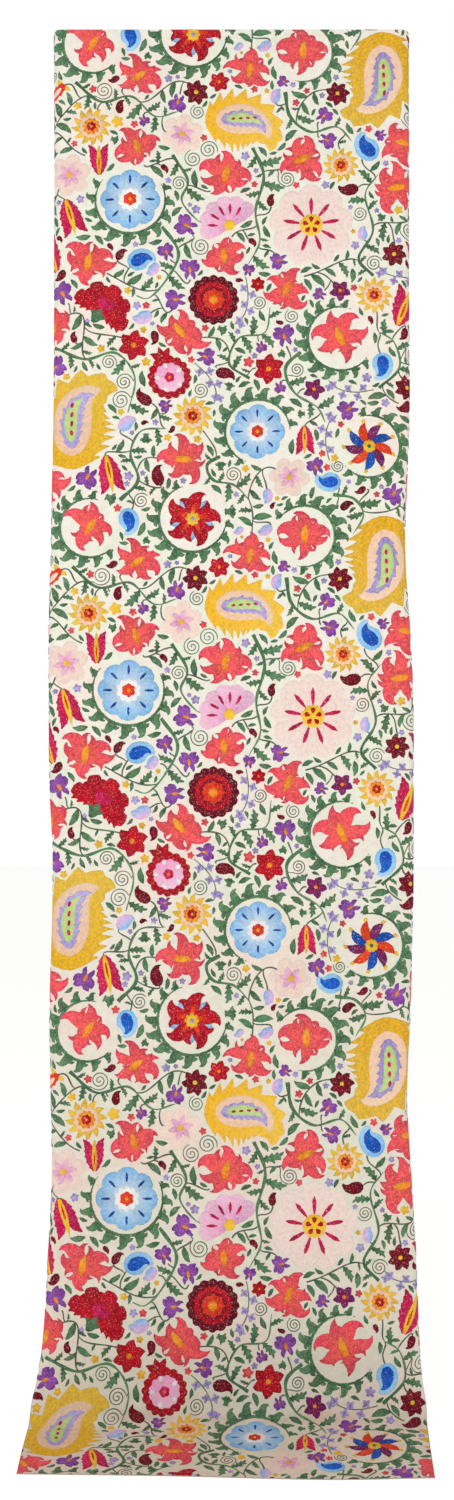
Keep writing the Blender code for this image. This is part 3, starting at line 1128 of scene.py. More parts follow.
VINE_COLUMNS = ("root", "tip", "points")
VINES = (
    (8.0, 2.6, ((228, 800), (262, 745), (238, 690), (205, 655), (180, 660))),
    (8.0, 2.6, ((405, 960), (428, 900), (412, 830), (420, 770), (398, 725))),
    (8.0, 2.6, ((515, 560), (470, 520), (486, 470), (530, 440), (545, 410))),
    (7.0, 2.6, ((20, 560), (80, 535), (140, 548), (178, 500), (165, 430))),
    (8.0, 2.6, ((150, 260), (185, 300), (170, 350), (190, 395), (240, 400))),
    (6.5, 2.4, ((650, 480), (690, 520), (680, 570), (650, 590))),
    (8.0, 2.6, ((350, 350), (318, 330), (330, 300), (370, 290), (400, 260))),
    (7.0, 2.6, ((560, 270), (600, 262), (618, 230), (596, 190))),
    (8.0, 2.6, ((470, 110), (480, 60), (520, 30), (570, 40), (600, 10))),
    (7.0, 2.4, ((250, 940), (280, 890), (268, 850), (300, 810), (330, 800))),
    (7.0, 2.4, ((640, 700), (612, 735), (640, 790), (625, 860), (650, 900))),
    (7.0, 2.4, ((60, 130), (110, 90), (170, 100), (215, 60), (260, 70))),
    (6.0, 2.4, ((400, 500), (360, 530), (380, 580), (430, 590), (440, 640))),
)

# Flowers on thin stems, in the order in which they find their places
PLAN_COLUMNS = ("kind", "size", "count")
PLAN = (
    ("lily", 96, 8),
    ("marigold", 80, 4),
    ("blush_bloom", 78, 3),
    ("lily", 84, 8),
    ("tulip", 84, 2),
    ("red_star", 56, 2),
    ("blue_drop", 54, 3),
    ("sprig", 66, 6),
    ("maroon_star", 52, 4),
    ("lily", 72, 6),
    ("bell", 48, 9),
    ("blue_drop", 48, 3),
    ("soft_bud", 60, 4),
    ("red_cap", 58, 3),
    ("red_moon", 62, 3),
    ("tulip", 66, 5),
    ("gold_star", 68, 6),
    ("maroon_drop", 46, 6),
    ("lily", 64, 9),
    ("soft_bud", 44, 7),
    ("plum_star", 46, 4),
    ("red_star", 44, 7),
    ("leafy_twig", 84, 7),
    ("spiral", 36, 9),
    ("bell", 38, 10),
    ("lily", 52, 8),
    ("leafy_twig", 66, 8),
    ("maroon_drop", 32, 7),
    ("spiral", 30, 12),
    ("soft_bud", 32, 7),
    ("lily", 42, 8),
    ("red_star", 32, 5),
    ("sprig", 48, 5),
    ("maroon_drop", 26, 6),
    ("bell", 28, 9),
)

# Loose small patches in the room that is left
FILL_COLUMNS = ("kind", "size", "gap", "count")
FILL = (
    ("scroll", 40, 1.6, 10),
    ("leafy_twig", 50, 1.4, 12),
    ("spiral", 26, 1.4, 8),
    ("scroll", 30, 1.4, 14),
    ("gold_floret", 36, 1.0, 12),
    ("gold_floret", 27, 1.0, 14),
    ("coral_floret", 26, 1.0, 8),
    ("leafy_twig", 38, 1.2, 12),
    ("lilac_floret", 20, 1.0, 16),
    ("leaf", 36, 0.8, 34),
    ("maroon_drop", 20, 1.0, 10),
    ("soft_bud", 24, 1.0, 14),
    ("leaf", 27, 0.6, 56),
    ("gold_floret", 18, 0.6, 30),
    ("coral_floret", 16, 0.6, 24),
    ("leaf", 18, 0.4, 90),
    ("lilac_floret", 12, 0.6, 30),
)


# What draws each motif, and what it is given besides the size
PLAIN_MOTIFS = (
    pale_rose, blue_wheel, pink_fan, rosette, carnation, almond, pomegranate, wheel, star_bloom, tulip,
    bell, red_cap, marigold, blush_bloom, red_moon, soft_bud, sprig, spiral, scroll,
)
MOTIFS = {
    **{maker.__name__: (maker, ()) for maker in PLAIN_MOTIFS},
    "blue_drop": (drop, ("royal", "halo")),
    "maroon_drop": (drop, ("maroon",)),
    "red_star": (star_flower, ("crimson", "heart", 6)),
    "plum_star": (star_flower, ("plum", "heart", 5)),
    "maroon_star": (star_flower, ("maroon", "gold", 7, 0.32)),
    "gold_star": (star_flower, ("gold", "wine", 8, 0.26)),
    "gold_floret": (floret, ("gold",)),
    "lilac_floret": (floret, ("lilac",)),
    "coral_floret": (floret, ("coral",)),
}


def motif(kind, size, rng):
    """The patches of a named motif."""
    if kind == "lily":
        return lily(size, rng.choice(sorted(LILIES)), rng)
    if kind.endswith("_lily"):
        return lily(size, kind.removesuffix("_lily"), rng)
    if kind == "leafy_twig":
        return leafy_twig(size, rng)
    if kind == "leaf":
        return leaf(size, 0.38 * size)
    maker, more = MOTIFS[kind]
    return maker(size, *more)


def inside(points, outline):
    """Which points lie in a closed outline."""
    x, y = points[:, 0][:, None], points[:, 1][:, None]
    x0, y0 = outline[:, 0][None], outline[:, 1][None]
    x1, y1 = np.roll(outline, -1, 0)[:, 0][None], np.roll(outline, -1, 0)[:, 1][None]
    crosses = (y0 > y) != (y1 > y)
    at = x0 + (y - y0) * (x1 - x0) / np.where(y1 == y0, 1e-9, y1 - y0)
    return np.sum(crosses & (x < at), 1) % 2 == 1


def footprint(patches, pitch=5.0):
    """Spots that cover a motif: its outlines, and its inside on a grid."""
    spots = []
    for _, outline, _ in patches:
        end = measure_along(outline)[-1]
        spots.append(points_at(np.linspace(0.0, end, max(4, int(end / pitch)), endpoint=False), outline))
        low, high = outline.min(0), outline.max(0)
        grid = np.meshgrid(*(np.arange(low[k] + pitch, high[k], pitch) for k in (0, 1)))
        grid = np.stack([part.ravel() for part in grid], 1)
        if len(grid):
            spots.append(grid[inside(grid, outline)])
    spots = np.vstack(spots)
    keys = np.round(spots / (0.6 * pitch)).astype(int)
    return spots[np.unique(keys, axis=0, return_index=True)[1]]


class Room:
    """What is free on one repeat: for each grid cell, how far away the nearest stitch is."""

    def __init__(self):
        self.columns, self.rows = round(TILE_WIDTH / CELL), round(TILE_LENGTH / CELL)
        self.cell = np.array([TILE_WIDTH / self.columns, TILE_LENGTH / self.rows])
        self.free = np.full((self.rows, self.columns), FAR)

    def take(self, points, radius):
        """Mark discs as stitched. They wrap round the edges of the repeat."""
        around = np.arange(-int(FAR / self.cell[0]) - 1, int(FAR / self.cell[0]) + 2)
        for x, y in points:
            column, row = int(x // self.cell[0]), int(y // self.cell[1])
            dx = (column + around + 0.5) * self.cell[0] - x
            dy = (row + around + 0.5) * self.cell[1] - y
            distance = np.sqrt(dx[None, :] ** 2 + dy[:, None] ** 2) - radius
            block = np.ix_((row + around) % self.rows, (column + around) % self.columns)
            self.free[block] = np.minimum(self.free[block], distance)

    def at(self, points):
        column = np.floor(points[:, 0] / self.cell[0]).astype(int) % self.columns
        row = np.floor(points[:, 1] / self.cell[1]).astype(int) % self.rows
        return self.free[row, column]

    def find(self, spots, gap, reach, rng):
        """The snuggest free place found for a motif's spots: x, y and turn, or None."""
        rows, columns = np.where(self.free >= reach)
        best = None
        for _ in range(FIND_TRIES if len(rows) else 0):
            pick = rng.randrange(len(rows))
            x, y = (columns[pick] + 0.5) * self.cell[0], (rows[pick] + 0.5) * self.cell[1]
            turn = rng.uniform(0, 360)
            room = self.at(moved(spots, x, y, turn))
            if room.min() < gap:
                continue
            slack = np.mean(np.minimum(room, SLACK_REACH))
            if best is None or slack < best[0]:
                best = (slack, x, y, turn)
            if slack < SNUG_SLACK:
                break
        return best and best[1:]


class Design:
    """The patches and stems of one repeat."""

    def __init__(self, seed):
        self.rng = random.Random(seed)
        self.room = Room()
        self.patches = []
        self.stems = []           # (line, root width, tip width, thread)
        self.joints = []          # places on vines where a stem can start, with the vine's direction

    def add(self, patches, x, y, turn):
        """A motif at a set place."""
        put = placed(patches, x, y, turn)
        self.patches += put
        self.room.take(footprint(put), BIG_MARGIN)

    def add_stem(self, line, root, tip, thread):
        """A stem, which later ones can join."""
        self.stems.append((line, root, tip, thread))
        points = points_at(np.arange(0.0, measure_along(line)[-1], 5.0), line)
        self.room.take(points, 0.5 * root + STEM_MARGIN)
        if len(points) > 1:
            self.joints += list(zip(points, np.gradient(points, axis=0)))[2::3]

    def connect(self, foot, direction, width):
        """A stem from a motif's foot, first along its direction, to a vine that it can meet."""
        ahead = round_to(1.0, direction)
        goals = np.array([joint[0] for joint in self.joints])
        lines = np.array([joint[1] for joint in self.joints])
        gap = goals - foot
        gap -= np.round(gap / (TILE_WIDTH, TILE_LENGTH)) * (TILE_WIDTH, TILE_LENGTH)
        distance = np.linalg.norm(gap, axis=1)
        cost = distance * (STEM_AHEAD - gap @ ahead / np.maximum(distance, 1e-6))
        for pick in np.argsort(cost)[:STEM_GOALS]:
            reach = distance[pick]
            if not STEM_SHORTEST < reach < STEM_REACH:
                continue
            goal = foot + gap[pick]
            meet = lines[pick] / max(np.linalg.norm(lines[pick]), 1e-9)
            meet = -meet if meet @ gap[pick] > 0 else meet
            for bend in rows_of(BENDS, BEND_COLUMNS):
                aside = np.array([ahead[1], -ahead[0]]) * bend["sway"]
                first = foot + (ahead + aside) * reach * bend["pull"]
                second = goal + (meet * 0.6 - gap[pick] / reach * 0.5) * reach * 0.35
                t = np.linspace(0.0, 1.0, max(8, int(reach / 3)))[:, None]
                line = (
                    foot * (1 - t) ** 3
                    + 3 * first * t * (1 - t) ** 2
                    + 3 * second * t**2 * (1 - t)
                    + goal * t**3
                )
                length = measure_along(line)
                middle = line[(length > STEM_FIRST) & (length < length[-1] - STEM_LAST)]
                if not len(middle) or self.room.at(middle).min() > STEM_CLEAR + 0.5 * width:
                    self.add_stem(line, width, width, "stem")
                    return line
        return None

    def leaves_on(self, line, leaves):
        """Leaves along a stem, left and right by turns, where there is room."""
        every, sizes, kinds = leaves
        length = measure_along(line)
        headings = np.gradient(line, axis=0)
        side = self.rng.choice((-1, 1))
        for at in np.arange(every * 0.45, length[-1] - every * 0.3, every * 0.5):
            side = -side
            foot = points_at([at], line)[0]
            dx, dy = (np.interp(at, length, headings[:, k]) for k in (0, 1))
            heading = math.degrees(math.atan2(dx, dy))
            size = self.rng.uniform(*sizes)
            for perch in rows_of(PERCHES, PERCH_COLUMNS):
                kind = self.rng.choice(kinds)
                long = size * perch["shrink"]
                if kind == "hooked":
                    patches = hooked_leaf(0.9 * long, side)
                elif kind == "toothed":
                    patches = toothed_leaf(long, 0.42 * long, side)
                else:
                    patches = leaf(long, 0.36 * long, side)
                put = placed(patches, *foot, heading + side * perch["spread"])
                spots = footprint(put, 4.0)
                spots = spots[np.linalg.norm(spots - foot, axis=1) > 5.5 + 0.1 * size]
                if len(spots) and self.room.at(spots).min() > PERCH_CLEAR:
                    self.patches += put
                    self.room.take(spots, LEAF_MARGIN)
                    break

    def add_flower(self, kind, size):
        """A motif in a free place, on a thin stem where one can reach a vine."""
        patches = motif(kind, size, self.rng)
        spots = footprint(patches)
        reach = 0.4 * size if kind == "spiral" else 4.0
        found = self.room.find(spots, MOTIF_GAP, reach, self.rng)
        if not found:
            return
        x, y, turn = found
        self.patches += placed(patches, x, y, turn)
        self.room.take(moved(spots, x, y, turn), MOTIF_MARGIN)
        if kind == "spiral":
            end = spiral_line(size)
            dx, dy = end[-1] - end[-2]
            out = turn + math.degrees(math.atan2(dx, dy))
            self.connect(moved(end[-1:], x, y, turn)[0], out, SPIRAL_WIDTH)
            return
        foot_y, leave_by = MOTIF_FOOT * size, STEM_TURNS
        if kind == "sprig":
            foot_y, leave_by = SPRIG_FOOT * size, STEM_TURNS[:1]
        for leave in leave_by:
            foot = moved([[0.0, foot_y]], x, y, turn + leave)[0]
            line = self.connect(foot, turn + leave + 180, STEM_WIDTH)
            if line is not None:
                self.leaves_on(line, STEM_LEAVES)
                return

    def add_filler(self, kind, size, gap):
        """A small loose motif, if there is a free place with a gap round it."""
        patches = motif(kind, size, self.rng)
        patches = placed(patches, 0.0, -0.5 * size if kind == "leaf" else 0.0)
        spots = footprint(patches, 3.5)
        found = self.room.find(spots, gap, 3.0, self.rng)
        if found:
            self.patches += placed(patches, *found)
            self.room.take(moved(spots, *found), FILL_MARGIN)


def make_design(seed):
    """One repeat: big flowers, vines, flowers on stems, then small patches in what is left."""
    design = Design(seed)
    rng = design.rng
    for row in rows_of(BIG, BIG_COLUMNS):
        patches = motif(row["kind"], row["size"], rng)
        if row["leaves"]:
            radius = 0.5 * row["size"] + CURL_GAP
            patches += curled_vine(radius, row["curl_start"], row["curl_sweep"], row["leaves"])
            design.room.take([(row["x"], row["y"])], radius)
        design.add(patches, row["x"], row["y"], row["turn"])
    for row in rows_of(VINES, VINE_COLUMNS):
        line = through(row["points"], 4.0)
        line = line[design.room.at(line) > 0.5]
        if len(line) >= 8:
            design.add_stem(line, row["root"], row["tip"], "leaf")
            design.leaves_on(line, VINE_LEAVES)
    for row in rows_of(PLAN, PLAN_COLUMNS):
        for _ in range(row["count"]):
            design.add_flower(row["kind"], row["size"] * rng.uniform(0.92, 1.08))
    for row in rows_of(FILL, FILL_COLUMNS):
        for _ in range(row["count"]):
            design.add_filler(row["kind"], row["size"] * rng.uniform(0.85, 1.15), row["gap"])
    return design


# Stitched meshes

# Each thread's dye at the root of a patch, and at its tip, rim or far side: its way to change
THREAD_COLUMNS = ("root", "tip", "way")
THREADS = {
    "coral": ((246, 98, 84), (241, 76, 100), "along"),
    "heart": ((255, 142, 30), (255, 170, 56), "along"),
    "purple": ((160, 90, 180), (132, 64, 162), "along"),
    "gold": ((251, 190, 36), (249, 204, 72), "along"),
    "leaf": ((70, 116, 78), (102, 142, 104), "along"),
    "stem": ((90, 106, 86), (78, 98, 78), "along"),
    "maroon": ((132, 14, 38), (104, 12, 36), "out"),
    "wine": ((116, 12, 32), (132, 18, 38), "out"),
    "crimson": ((202, 20, 36), (178, 14, 38), "along"),
    "red": ((240, 78, 30), (224, 44, 34), "out"),
    "magenta": ((218, 34, 96), (200, 24, 82), "along"),
    "plum": ((140, 30, 78), (120, 40, 112), "along"),
    "blush": ((253, 224, 210), (254, 234, 222), "out"),
    "blush_deep": ((253, 218, 203), (253, 226, 213), "out"),
    "peach": ((253, 208, 172), (253, 216, 184), "along"),
    "pink": ((240, 160, 204), (248, 202, 224), "along"),
    "sky": ((228, 242, 250), (124, 190, 240), "along"),
    "sky_pale": ((228, 242, 250), (196, 226, 246), "out"),
    "halo": ((128, 196, 244), (172, 218, 250), "along"),
    "royal": ((16, 84, 192), (30, 106, 214), "along"),
    "navy": ((20, 68, 160), (30, 90, 186), "along"),
    "white": ((253, 252, 250), (250, 248, 246), "out"),
    "lilac": ((172, 156, 214), (188, 174, 224), "along"),
    "lilac_deep": ((124, 104, 176), (138, 118, 188), "out"),
    "lime": ((198, 226, 138), (214, 234, 158), "along"),
    "bud": ((246, 184, 226), (130, 194, 242), "across"),
}

EMBROIDERED = ("washes", "grounds", "leaves", "stems", "lilies", "petals", "hearts", "centres", "eyes")
PIECE_OF_LAYER = {1: "washes", 2: "grounds", 3: "petals", 4: "hearts", 5: "centres", 6: "eyes"}
SUNK = -0.10                      # height of a patch's rim, under the cloth's face, mm
LAYER_FOOT = 0.22                 # height of a patch above the face, mm, and what each layer adds
LAYER_RISE = 0.21
TOP_SPREAD = 0.05                 # by how much patches of one layer differ in height, mm
CROWN, CROWN_RUN = 0.06, 3.0      # further rise towards the middle of a patch, and its run, mm
RING = 0.9                        # the line just inside a patch's rim at which it stands full, mm
INNER_CLEAR = 2.6                 # the grid keeps this many rings from the rim
COARSE = 7.5                      # grid inside a patch, mm
CURL_COARSE = 3.5                 # the same, and the longest step of a rim, where the cloth curls
RIM_SLACK = 0.15                  # how far a thinned rim may stray, mm
LONGEST_STEP = 7.0                # between points of a rim, mm
HAND_WOBBLE = 0.22                # unevenness of a stitched rim, mm
WOBBLE_SHARE = 0.01               # the same at most, as a share of the rim's length
WOBBLE_WAVES = (14.0, 6.5)        # lengths of its waves, mm
WOBBLE_STEP = 1.0                 # between points of such a rim, mm
TONE_SPREAD, TONE_LIMIT = 0.14, 1.3    # share by which one patch's dye differs from the next, less if pale
CAST_SHARE = 0.25                 # how much of that its red, green and blue differ from each other
STITCH_SHIFT = 40.0               # range of the random starts of the stitch rows, mm
STITCH_SEED = 5

REVERSE_SHARE = 0.8               # height of the reverse of a stitch, as a share of its face's
REVERSE_LAYERS = 3                # layers of patches that show on the back
REVERSE_AREA = 80.0               # smallest patch meshed there, square mm
REVERSE_SLACK, REVERSE_STEP, REVERSE_STEM_STEP = 0.6, 14.0, 8.0
REVERSE_SUNK = -1000.0 * THICKNESS + 0.08
REVERSE_FRONT = 1000.0 * (HANG_LENGTH + LEAN_LENGTH) - 4.0    # it ends before the floor, mm

PATTERN_START = 236.0             # place in the repeat at which the top edge cuts it, mm
EDGE_GAP = 0.5                    # bare strip at the cloth's cut edges, mm
HALF_LAID = 500.0 * CUT_WIDTH - EDGE_GAP    # half of the width that can be stitched, mm
MAP_MARGIN = 70.0                 # how far a patch can reach past its repeat, mm


def thin_out(points, slack, longest):
    """A closed rim with points left out where it stays within slack."""
    ring = np.vstack([points, points[:1]])
    keep = {0}
    waiting = [(0, len(points) // 2), (len(points) // 2, len(points))]
    while waiting:
        start, end = waiting.pop()
        keep.add(start)
        if end - start < 2:
            continue
        line = ring[end] - ring[start]
        length = np.linalg.norm(line)
        rest = ring[start + 1:end] - ring[start]
        if length < 1e-6:
            stray = np.linalg.norm(rest, axis=1)
        else:
            stray = np.abs(rest[:, 0] * line[1] - rest[:, 1] * line[0]) / length
        worst = int(np.argmax(stray))
        if stray[worst] > slack or length > longest:
            middle = start + 1 + worst if stray[worst] > 0.3 * slack else (start + end) // 2
            waiting += [(start, middle), (middle, end)]
    return ring[sorted(keep)]


def hand_drawn(outline, rng):
    """An outline with the slight unevenness of hand stitching."""
    closed = np.vstack([outline, outline[:1]])
    end = measure_along(closed)[-1]
    t = np.linspace(0.0, end, max(12, int(end / WOBBLE_STEP)), endpoint=False)
    points = points_at(t, closed)
    wobble = np.zeros(len(t))
    for wave in WOBBLE_WAVES:
        turns = max(1, round(end / wave))
        wobble += np.sin(2 * np.pi * (turns * t / end + rng.random()))
    amount = min(HAND_WOBBLE, WOBBLE_SHARE * end)
    return points + sideways_of(points) * (amount * wobble)[:, None]


def rim_distance(points, rim):
    """How far points are from a closed rim."""
    start, line = rim, np.roll(rim, -1, 0) - rim
    length = np.maximum((line**2).sum(1), 1e-12)
    rest = points[:, None] - start[None]
    share = np.clip((rest * line[None]).sum(2) / length[None], 0.0, 1.0)
    return np.linalg.norm(rest - share[:, :, None] * line[None], axis=2).min(1)


def inner_points(rim, coarse):
    """Points just inside a rim, and on a coarse grid further in."""
    low, high = rim.min(0), rim.max(0)
    found = []
    for ring in (RING, 0.5 * RING):
        for side in (1.0, -1.0):
            near = rim + sideways_of(rim) * (ring * side)
            near = near[inside(near, rim)]
            if len(near):
                found.append(near[rim_distance(near, rim) > 0.8 * ring])
        if sum(len(part) for part in found) > 2:
            break
    columns = np.arange(low[0] + 0.5 * coarse, high[0], coarse)
    lines = np.arange(low[1] + 0.5 * coarse, high[1], coarse)
    grid = np.stack([part.ravel() for part in np.meshgrid(columns, lines)], 1)
    if len(grid):
        grid = grid[inside(grid, rim)]
    if len(grid):
        found.append(grid[rim_distance(grid, rim) > INNER_CLEAR * RING])
    return np.vstack(found) if found else np.zeros((0, 2))


def triangles_of(rim, inner):
    """Points and triangles that fill a rim."""
    coords = [Vector(point) for point in np.vstack([rim, inner])]
    points, _, faces, _, _, _ = delaunay_2d_cdt(coords, [], [list(range(len(rim)))], 1, 1e-4)
    return np.array([tuple(point) for point in points]), np.array([f for f in faces if len(f) == 3])


def axis_of(outline):
    """The root of an outline, and its direction and reach to the point furthest from there."""
    root = 0.5 * (outline[0] + outline[-1])
    away = outline - root
    far = away[np.argmax((away**2).sum(1))]
    reach = max(np.linalg.norm(far), 1e-6)
    return root, far / reach, reach


def dye_shares(points, outline, way):
    """Share of the second dye at each point, from how a thread changes over its patch."""
    root, ahead, reach = axis_of(outline)
    if way == "out":
        middle = outline.mean(0)
        furthest = np.linalg.norm(outline - middle, axis=1).max()
        return np.linalg.norm(points - middle, axis=1) / max(furthest, 1e-6)
    if way == "across":
        beside = np.array([ahead[1], -ahead[0]])
        spread = (outline - root) @ beside
        return ((points - root) @ beside - spread.min()) / max(np.ptp(spread), 1e-6)
    return (points - root) @ ahead / reach


class Stitches:
    """Meshed patches of one kind on one repeat, as arrays that can be copied and cut."""

    def __init__(self):
        self.parts = []

    def add(self, points, **arrays):
        """Points on the repeat, with faces, height, rim, dye and stitch. Their place there is the map."""
        spread = np.array([TILE_WIDTH, TILE_LENGTH]) + 2.0 * MAP_MARGIN
        self.parts.append(dict(arrays, points=points, map=(points + MAP_MARGIN) / spread))

    def turn_over(self, panel):
        """Put the last part on the back of the cloth, and on one quarter of the map."""
        part = self.parts[-1]
        part["faces"] = part["faces"][:, ::-1]
        part["height"] = -1000.0 * THICKNESS - REVERSE_SHARE * part["height"]
        part["map"] = 0.5 * (part["map"] + (panel % 2, panel // 2))


def patch_colour(thread, share, rng):
    """The dye at each point of a patch, as linear colours."""
    root, tip, _ = THREADS[thread]
    share = np.clip(share, 0.0, 1.0)[:, None]
    colour = (1.0 - share) * np.array(srgb(*root)) + share * np.array(srgb(*tip))
    spread = TONE_SPREAD * (TONE_LIMIT - colour.mean())
    tone = 1.0 + rng.uniform(-spread, spread)
    cast = 1.0 + np.array([rng.uniform(-CAST_SHARE, CAST_SHARE) * spread for _ in range(3)])
    return np.clip(colour * tone * cast, 0.0, 1.0)


def add_patch(stitches, thread, outline, layer, rng, slack=RIM_SLACK, longest=LONGEST_STEP):
    """Mesh one patch: a raised, slightly crowned fill whose rim goes down into the cloth."""
    curled = min(outline[:, 0].min(), TILE_WIDTH - outline[:, 0].max()) < 1000.0 * EDGE_BAND
    coarse = COARSE
    if curled and longest <= LONGEST_STEP:
        coarse = longest = CURL_COARSE
    rim = thin_out(hand_drawn(outline, rng), slack, longest)
    points, faces = triangles_of(rim, inner_points(rim, coarse))
    if not len(faces):
        return False
    distance = rim_distance(points, rim)
    top = LAYER_FOOT + LAYER_RISE * layer + rng.uniform(0.0, TOP_SPREAD)
    crown = CROWN * (1.0 - np.exp(-np.maximum(distance - RING, 0.0) / CROWN_RUN))
    height = SUNK + (top - SUNK) * np.clip(distance / (0.8 * RING), 0.0, 1.0) ** 0.7 + crown
    root, ahead, _ = axis_of(outline)
    beside = np.array([ahead[1], -ahead[0]])
    number = STITCH_SHIFT * rng.random()
    run, row = (points - root) @ ahead, (points - root) @ beside
    stitch = np.stack([run + number, row + number, np.full(len(points), number)], 1)
    way = THREADS[thread][THREAD_COLUMNS.index("way")]
    dye = patch_colour(thread, dye_shares(points, outline, way), rng)
    stitches.add(points, faces=faces, height=height, rim=distance, dye=dye, stitch=stitch)
    return True


STEM_STEP = 3.2                   # between the cross sections of a stem, mm
STEM_RISE = 0.03                  # further height of a stem, as a share of its width at the root
STEM_SWELL, STEM_WAVE = 0.12, 7.0      # unevenness of a stem's width: share of it, and run in mm
TIP_TAPER, TIP_RUN = 0.55, 4.0         # how much narrower its tip is, and over what run, mm
RIBBON = (-1.0, -0.62, 0.0, 0.62, 1.0)
RIBBON_RISE = (0.0, 0.85, 1.0, 0.85, 0.0)
RIM_LIFT = 1.0                    # keeps a stem out of the dark of a patch's rim, mm


def add_stem(stitches, line, root, tip, thread, rng, step=STEM_STEP):
    """Mesh one vine or stem as a raised ribbon along its line."""
    end = measure_along(line)[-1]
    t = np.linspace(0.0, end, max(3, int(end / step)))
    middle = points_at(t, line)
    swelling = STEM_SWELL * root * np.sin(t / STEM_WAVE + 6.0 * rng.random())
    width = root + (tip - root) * t / end + swelling
    width *= 1.0 - TIP_TAPER * np.exp(-(end - t) / TIP_RUN)
    offset = 0.5 * width[:, None] * np.array(RIBBON)[None]
    points = middle[:, None] + sideways_of(middle)[:, None] * offset[:, :, None]
    top = LAYER_FOOT + LAYER_RISE + STEM_RISE * root
    height = SUNK + (top - SUNK) * np.broadcast_to(np.array(RIBBON_RISE), offset.shape)
    rim = RIM_LIFT + (0.5 * width[:, None] - np.abs(offset)).ravel()
    number = STITCH_SHIFT * rng.random()
    run = np.broadcast_to(t[:, None], offset.shape) + number
    stitch = np.stack([run, -offset + 0.5 * ROW_PITCH, np.full(offset.shape, number)], 2)
    share = np.broadcast_to((t / end)[:, None], offset.shape).ravel()
    dye = patch_colour(thread, share, rng)
    wide = len(RIBBON)
    faces = []
    for start in (i * wide + j for i in range(len(t) - 1) for j in range(wide - 1)):
        faces += [(start, start + wide + 1, start + 1), (start, start + wide, start + wide + 1)]
    stitches.add(
        points.reshape(-1, 2), faces=np.array(faces), height=height.ravel(), rim=rim, dye=dye,
        stitch=stitch.reshape(-1, 3),
    )


def piece_of(thread, layer):
    """The embroidered piece that a patch belongs to, so that no piece overlaps itself in two colours."""
    if thread == "stem" or (thread == "leaf" and layer <= 2):
        return "leaves"
    if thread == "coral":
        return "lilies"
    return PIECE_OF_LAYER[layer]


def mesh_design(design, seed):
    """All patches and stems of one repeat, meshed and sorted into pieces."""
    rng = random.Random(seed)
    pieces = {name: Stitches() for name in EMBROIDERED}
    for thread, outline, layer in sorted(design.patches, key=lambda patch: patch[2]):
        if layer == LINE:
            add_stem(pieces["stems"], outline, SPIRAL_WIDTH, SPIRAL_WIDTH, thread, rng)
        else:
            add_patch(pieces[piece_of(thread, layer)], thread, outline, layer, rng)
    for line, root, tip, thread in design.stems:
        add_stem(pieces["stems"], line, root, tip, thread, rng)
    return pieces


def mesh_reverse(design, seed):
    """What shows of the stitches on the back of the cloth: the larger patches and the stems."""
    rng = random.Random(seed)
    reverse = Stitches()
    for thread, outline, layer in design.patches:
        x, y = outline[:, 0], outline[:, 1]
        area = 0.5 * abs(np.sum(x * np.roll(y, -1) - y * np.roll(x, -1)))
        if layer == LINE:
            add_stem(reverse, outline, SPIRAL_WIDTH, SPIRAL_WIDTH, thread, rng, REVERSE_STEM_STEP)
            reverse.turn_over(0)
        elif layer <= REVERSE_LAYERS and area > REVERSE_AREA:
            if add_patch(reverse, thread, outline, layer, rng, REVERSE_SLACK, REVERSE_STEP):
                reverse.turn_over(layer)
    for line, root, tip, thread in design.stems:
        add_stem(reverse, line, root, tip, thread, rng, REVERSE_STEM_STEP)
        reverse.turn_over(0)
    return reverse


COPIED = ("height", "rim", "dye", "stitch", "map")
REPEATS = range(-1, 5)            # repeats of the design down the cloth that can reach it


def copies_on_cloth(stitches, front):
    """Copies of a repeat's patches that lie on the cloth, apart from those that its edges cut."""
    low, high = np.array([-HALF_LAID, EDGE_GAP]), np.array([HALF_LAID, front])
    whole, cut = [], []
    for part in stitches.parts:
        for repeat in REPEATS:
            for beside in (-1, 0, 1):
                across = part["points"][:, 0] - 0.5 * TILE_WIDTH + TILE_WIDTH * beside
                down = PATTERN_START + TILE_LENGTH * repeat - part["points"][:, 1]
                flat = np.stack([across, down], 1)
                if (flat.max(0) < low).any() or (flat.min(0) > high).any():
                    continue
                all_in = (flat.min(0) > low).all() and (flat.max(0) < high).all()
                (whole if all_in else cut).append(dict(part, flat=flat))
    return whole, cut


def joined(copies):
    """Patches joined into one set of arrays."""
    starts = np.cumsum([0] + [len(copy["flat"]) for copy in copies])
    arrays = {name: np.concatenate([copy[name] for copy in copies]) for name in COPIED + ("flat",)}
    arrays["faces"] = np.concatenate([copy["faces"] + start for copy, start in zip(copies, starts)])
    return arrays


def new_mesh(name, points, faces):
    """A mesh from arrays of points and of triangles or quads."""
    mesh = bpy.data.meshes.new(name)
    corners = faces.shape[1]
    mesh.vertices.add(len(points))
    mesh.vertices.foreach_set("co", np.asarray(points, np.float32).ravel())
    mesh.loops.add(faces.size)
    mesh.loops.foreach_set("vertex_index", np.asarray(faces, np.int32).ravel())
    mesh.polygons.add(len(faces))
    mesh.polygons.foreach_set("loop_start", np.arange(0, faces.size, corners, dtype=np.int32))
    mesh.update(calc_edges=True)
    return mesh


CARRIED = (("rim", "FLOAT", "value"), ("dye", "FLOAT_COLOR", "color"), ("stitch", "FLOAT_VECTOR", "vector"))


def carry(mesh, name, kind, field, values):
    """Store a value at each vertex of a mesh."""
    attribute = mesh.attributes.new(name, kind, "POINT")
    attribute.data.foreach_set(field, np.asarray(values, np.float32).ravel())


AT_EDGE = 0.01                    # points this near to a cut lie on it, mm


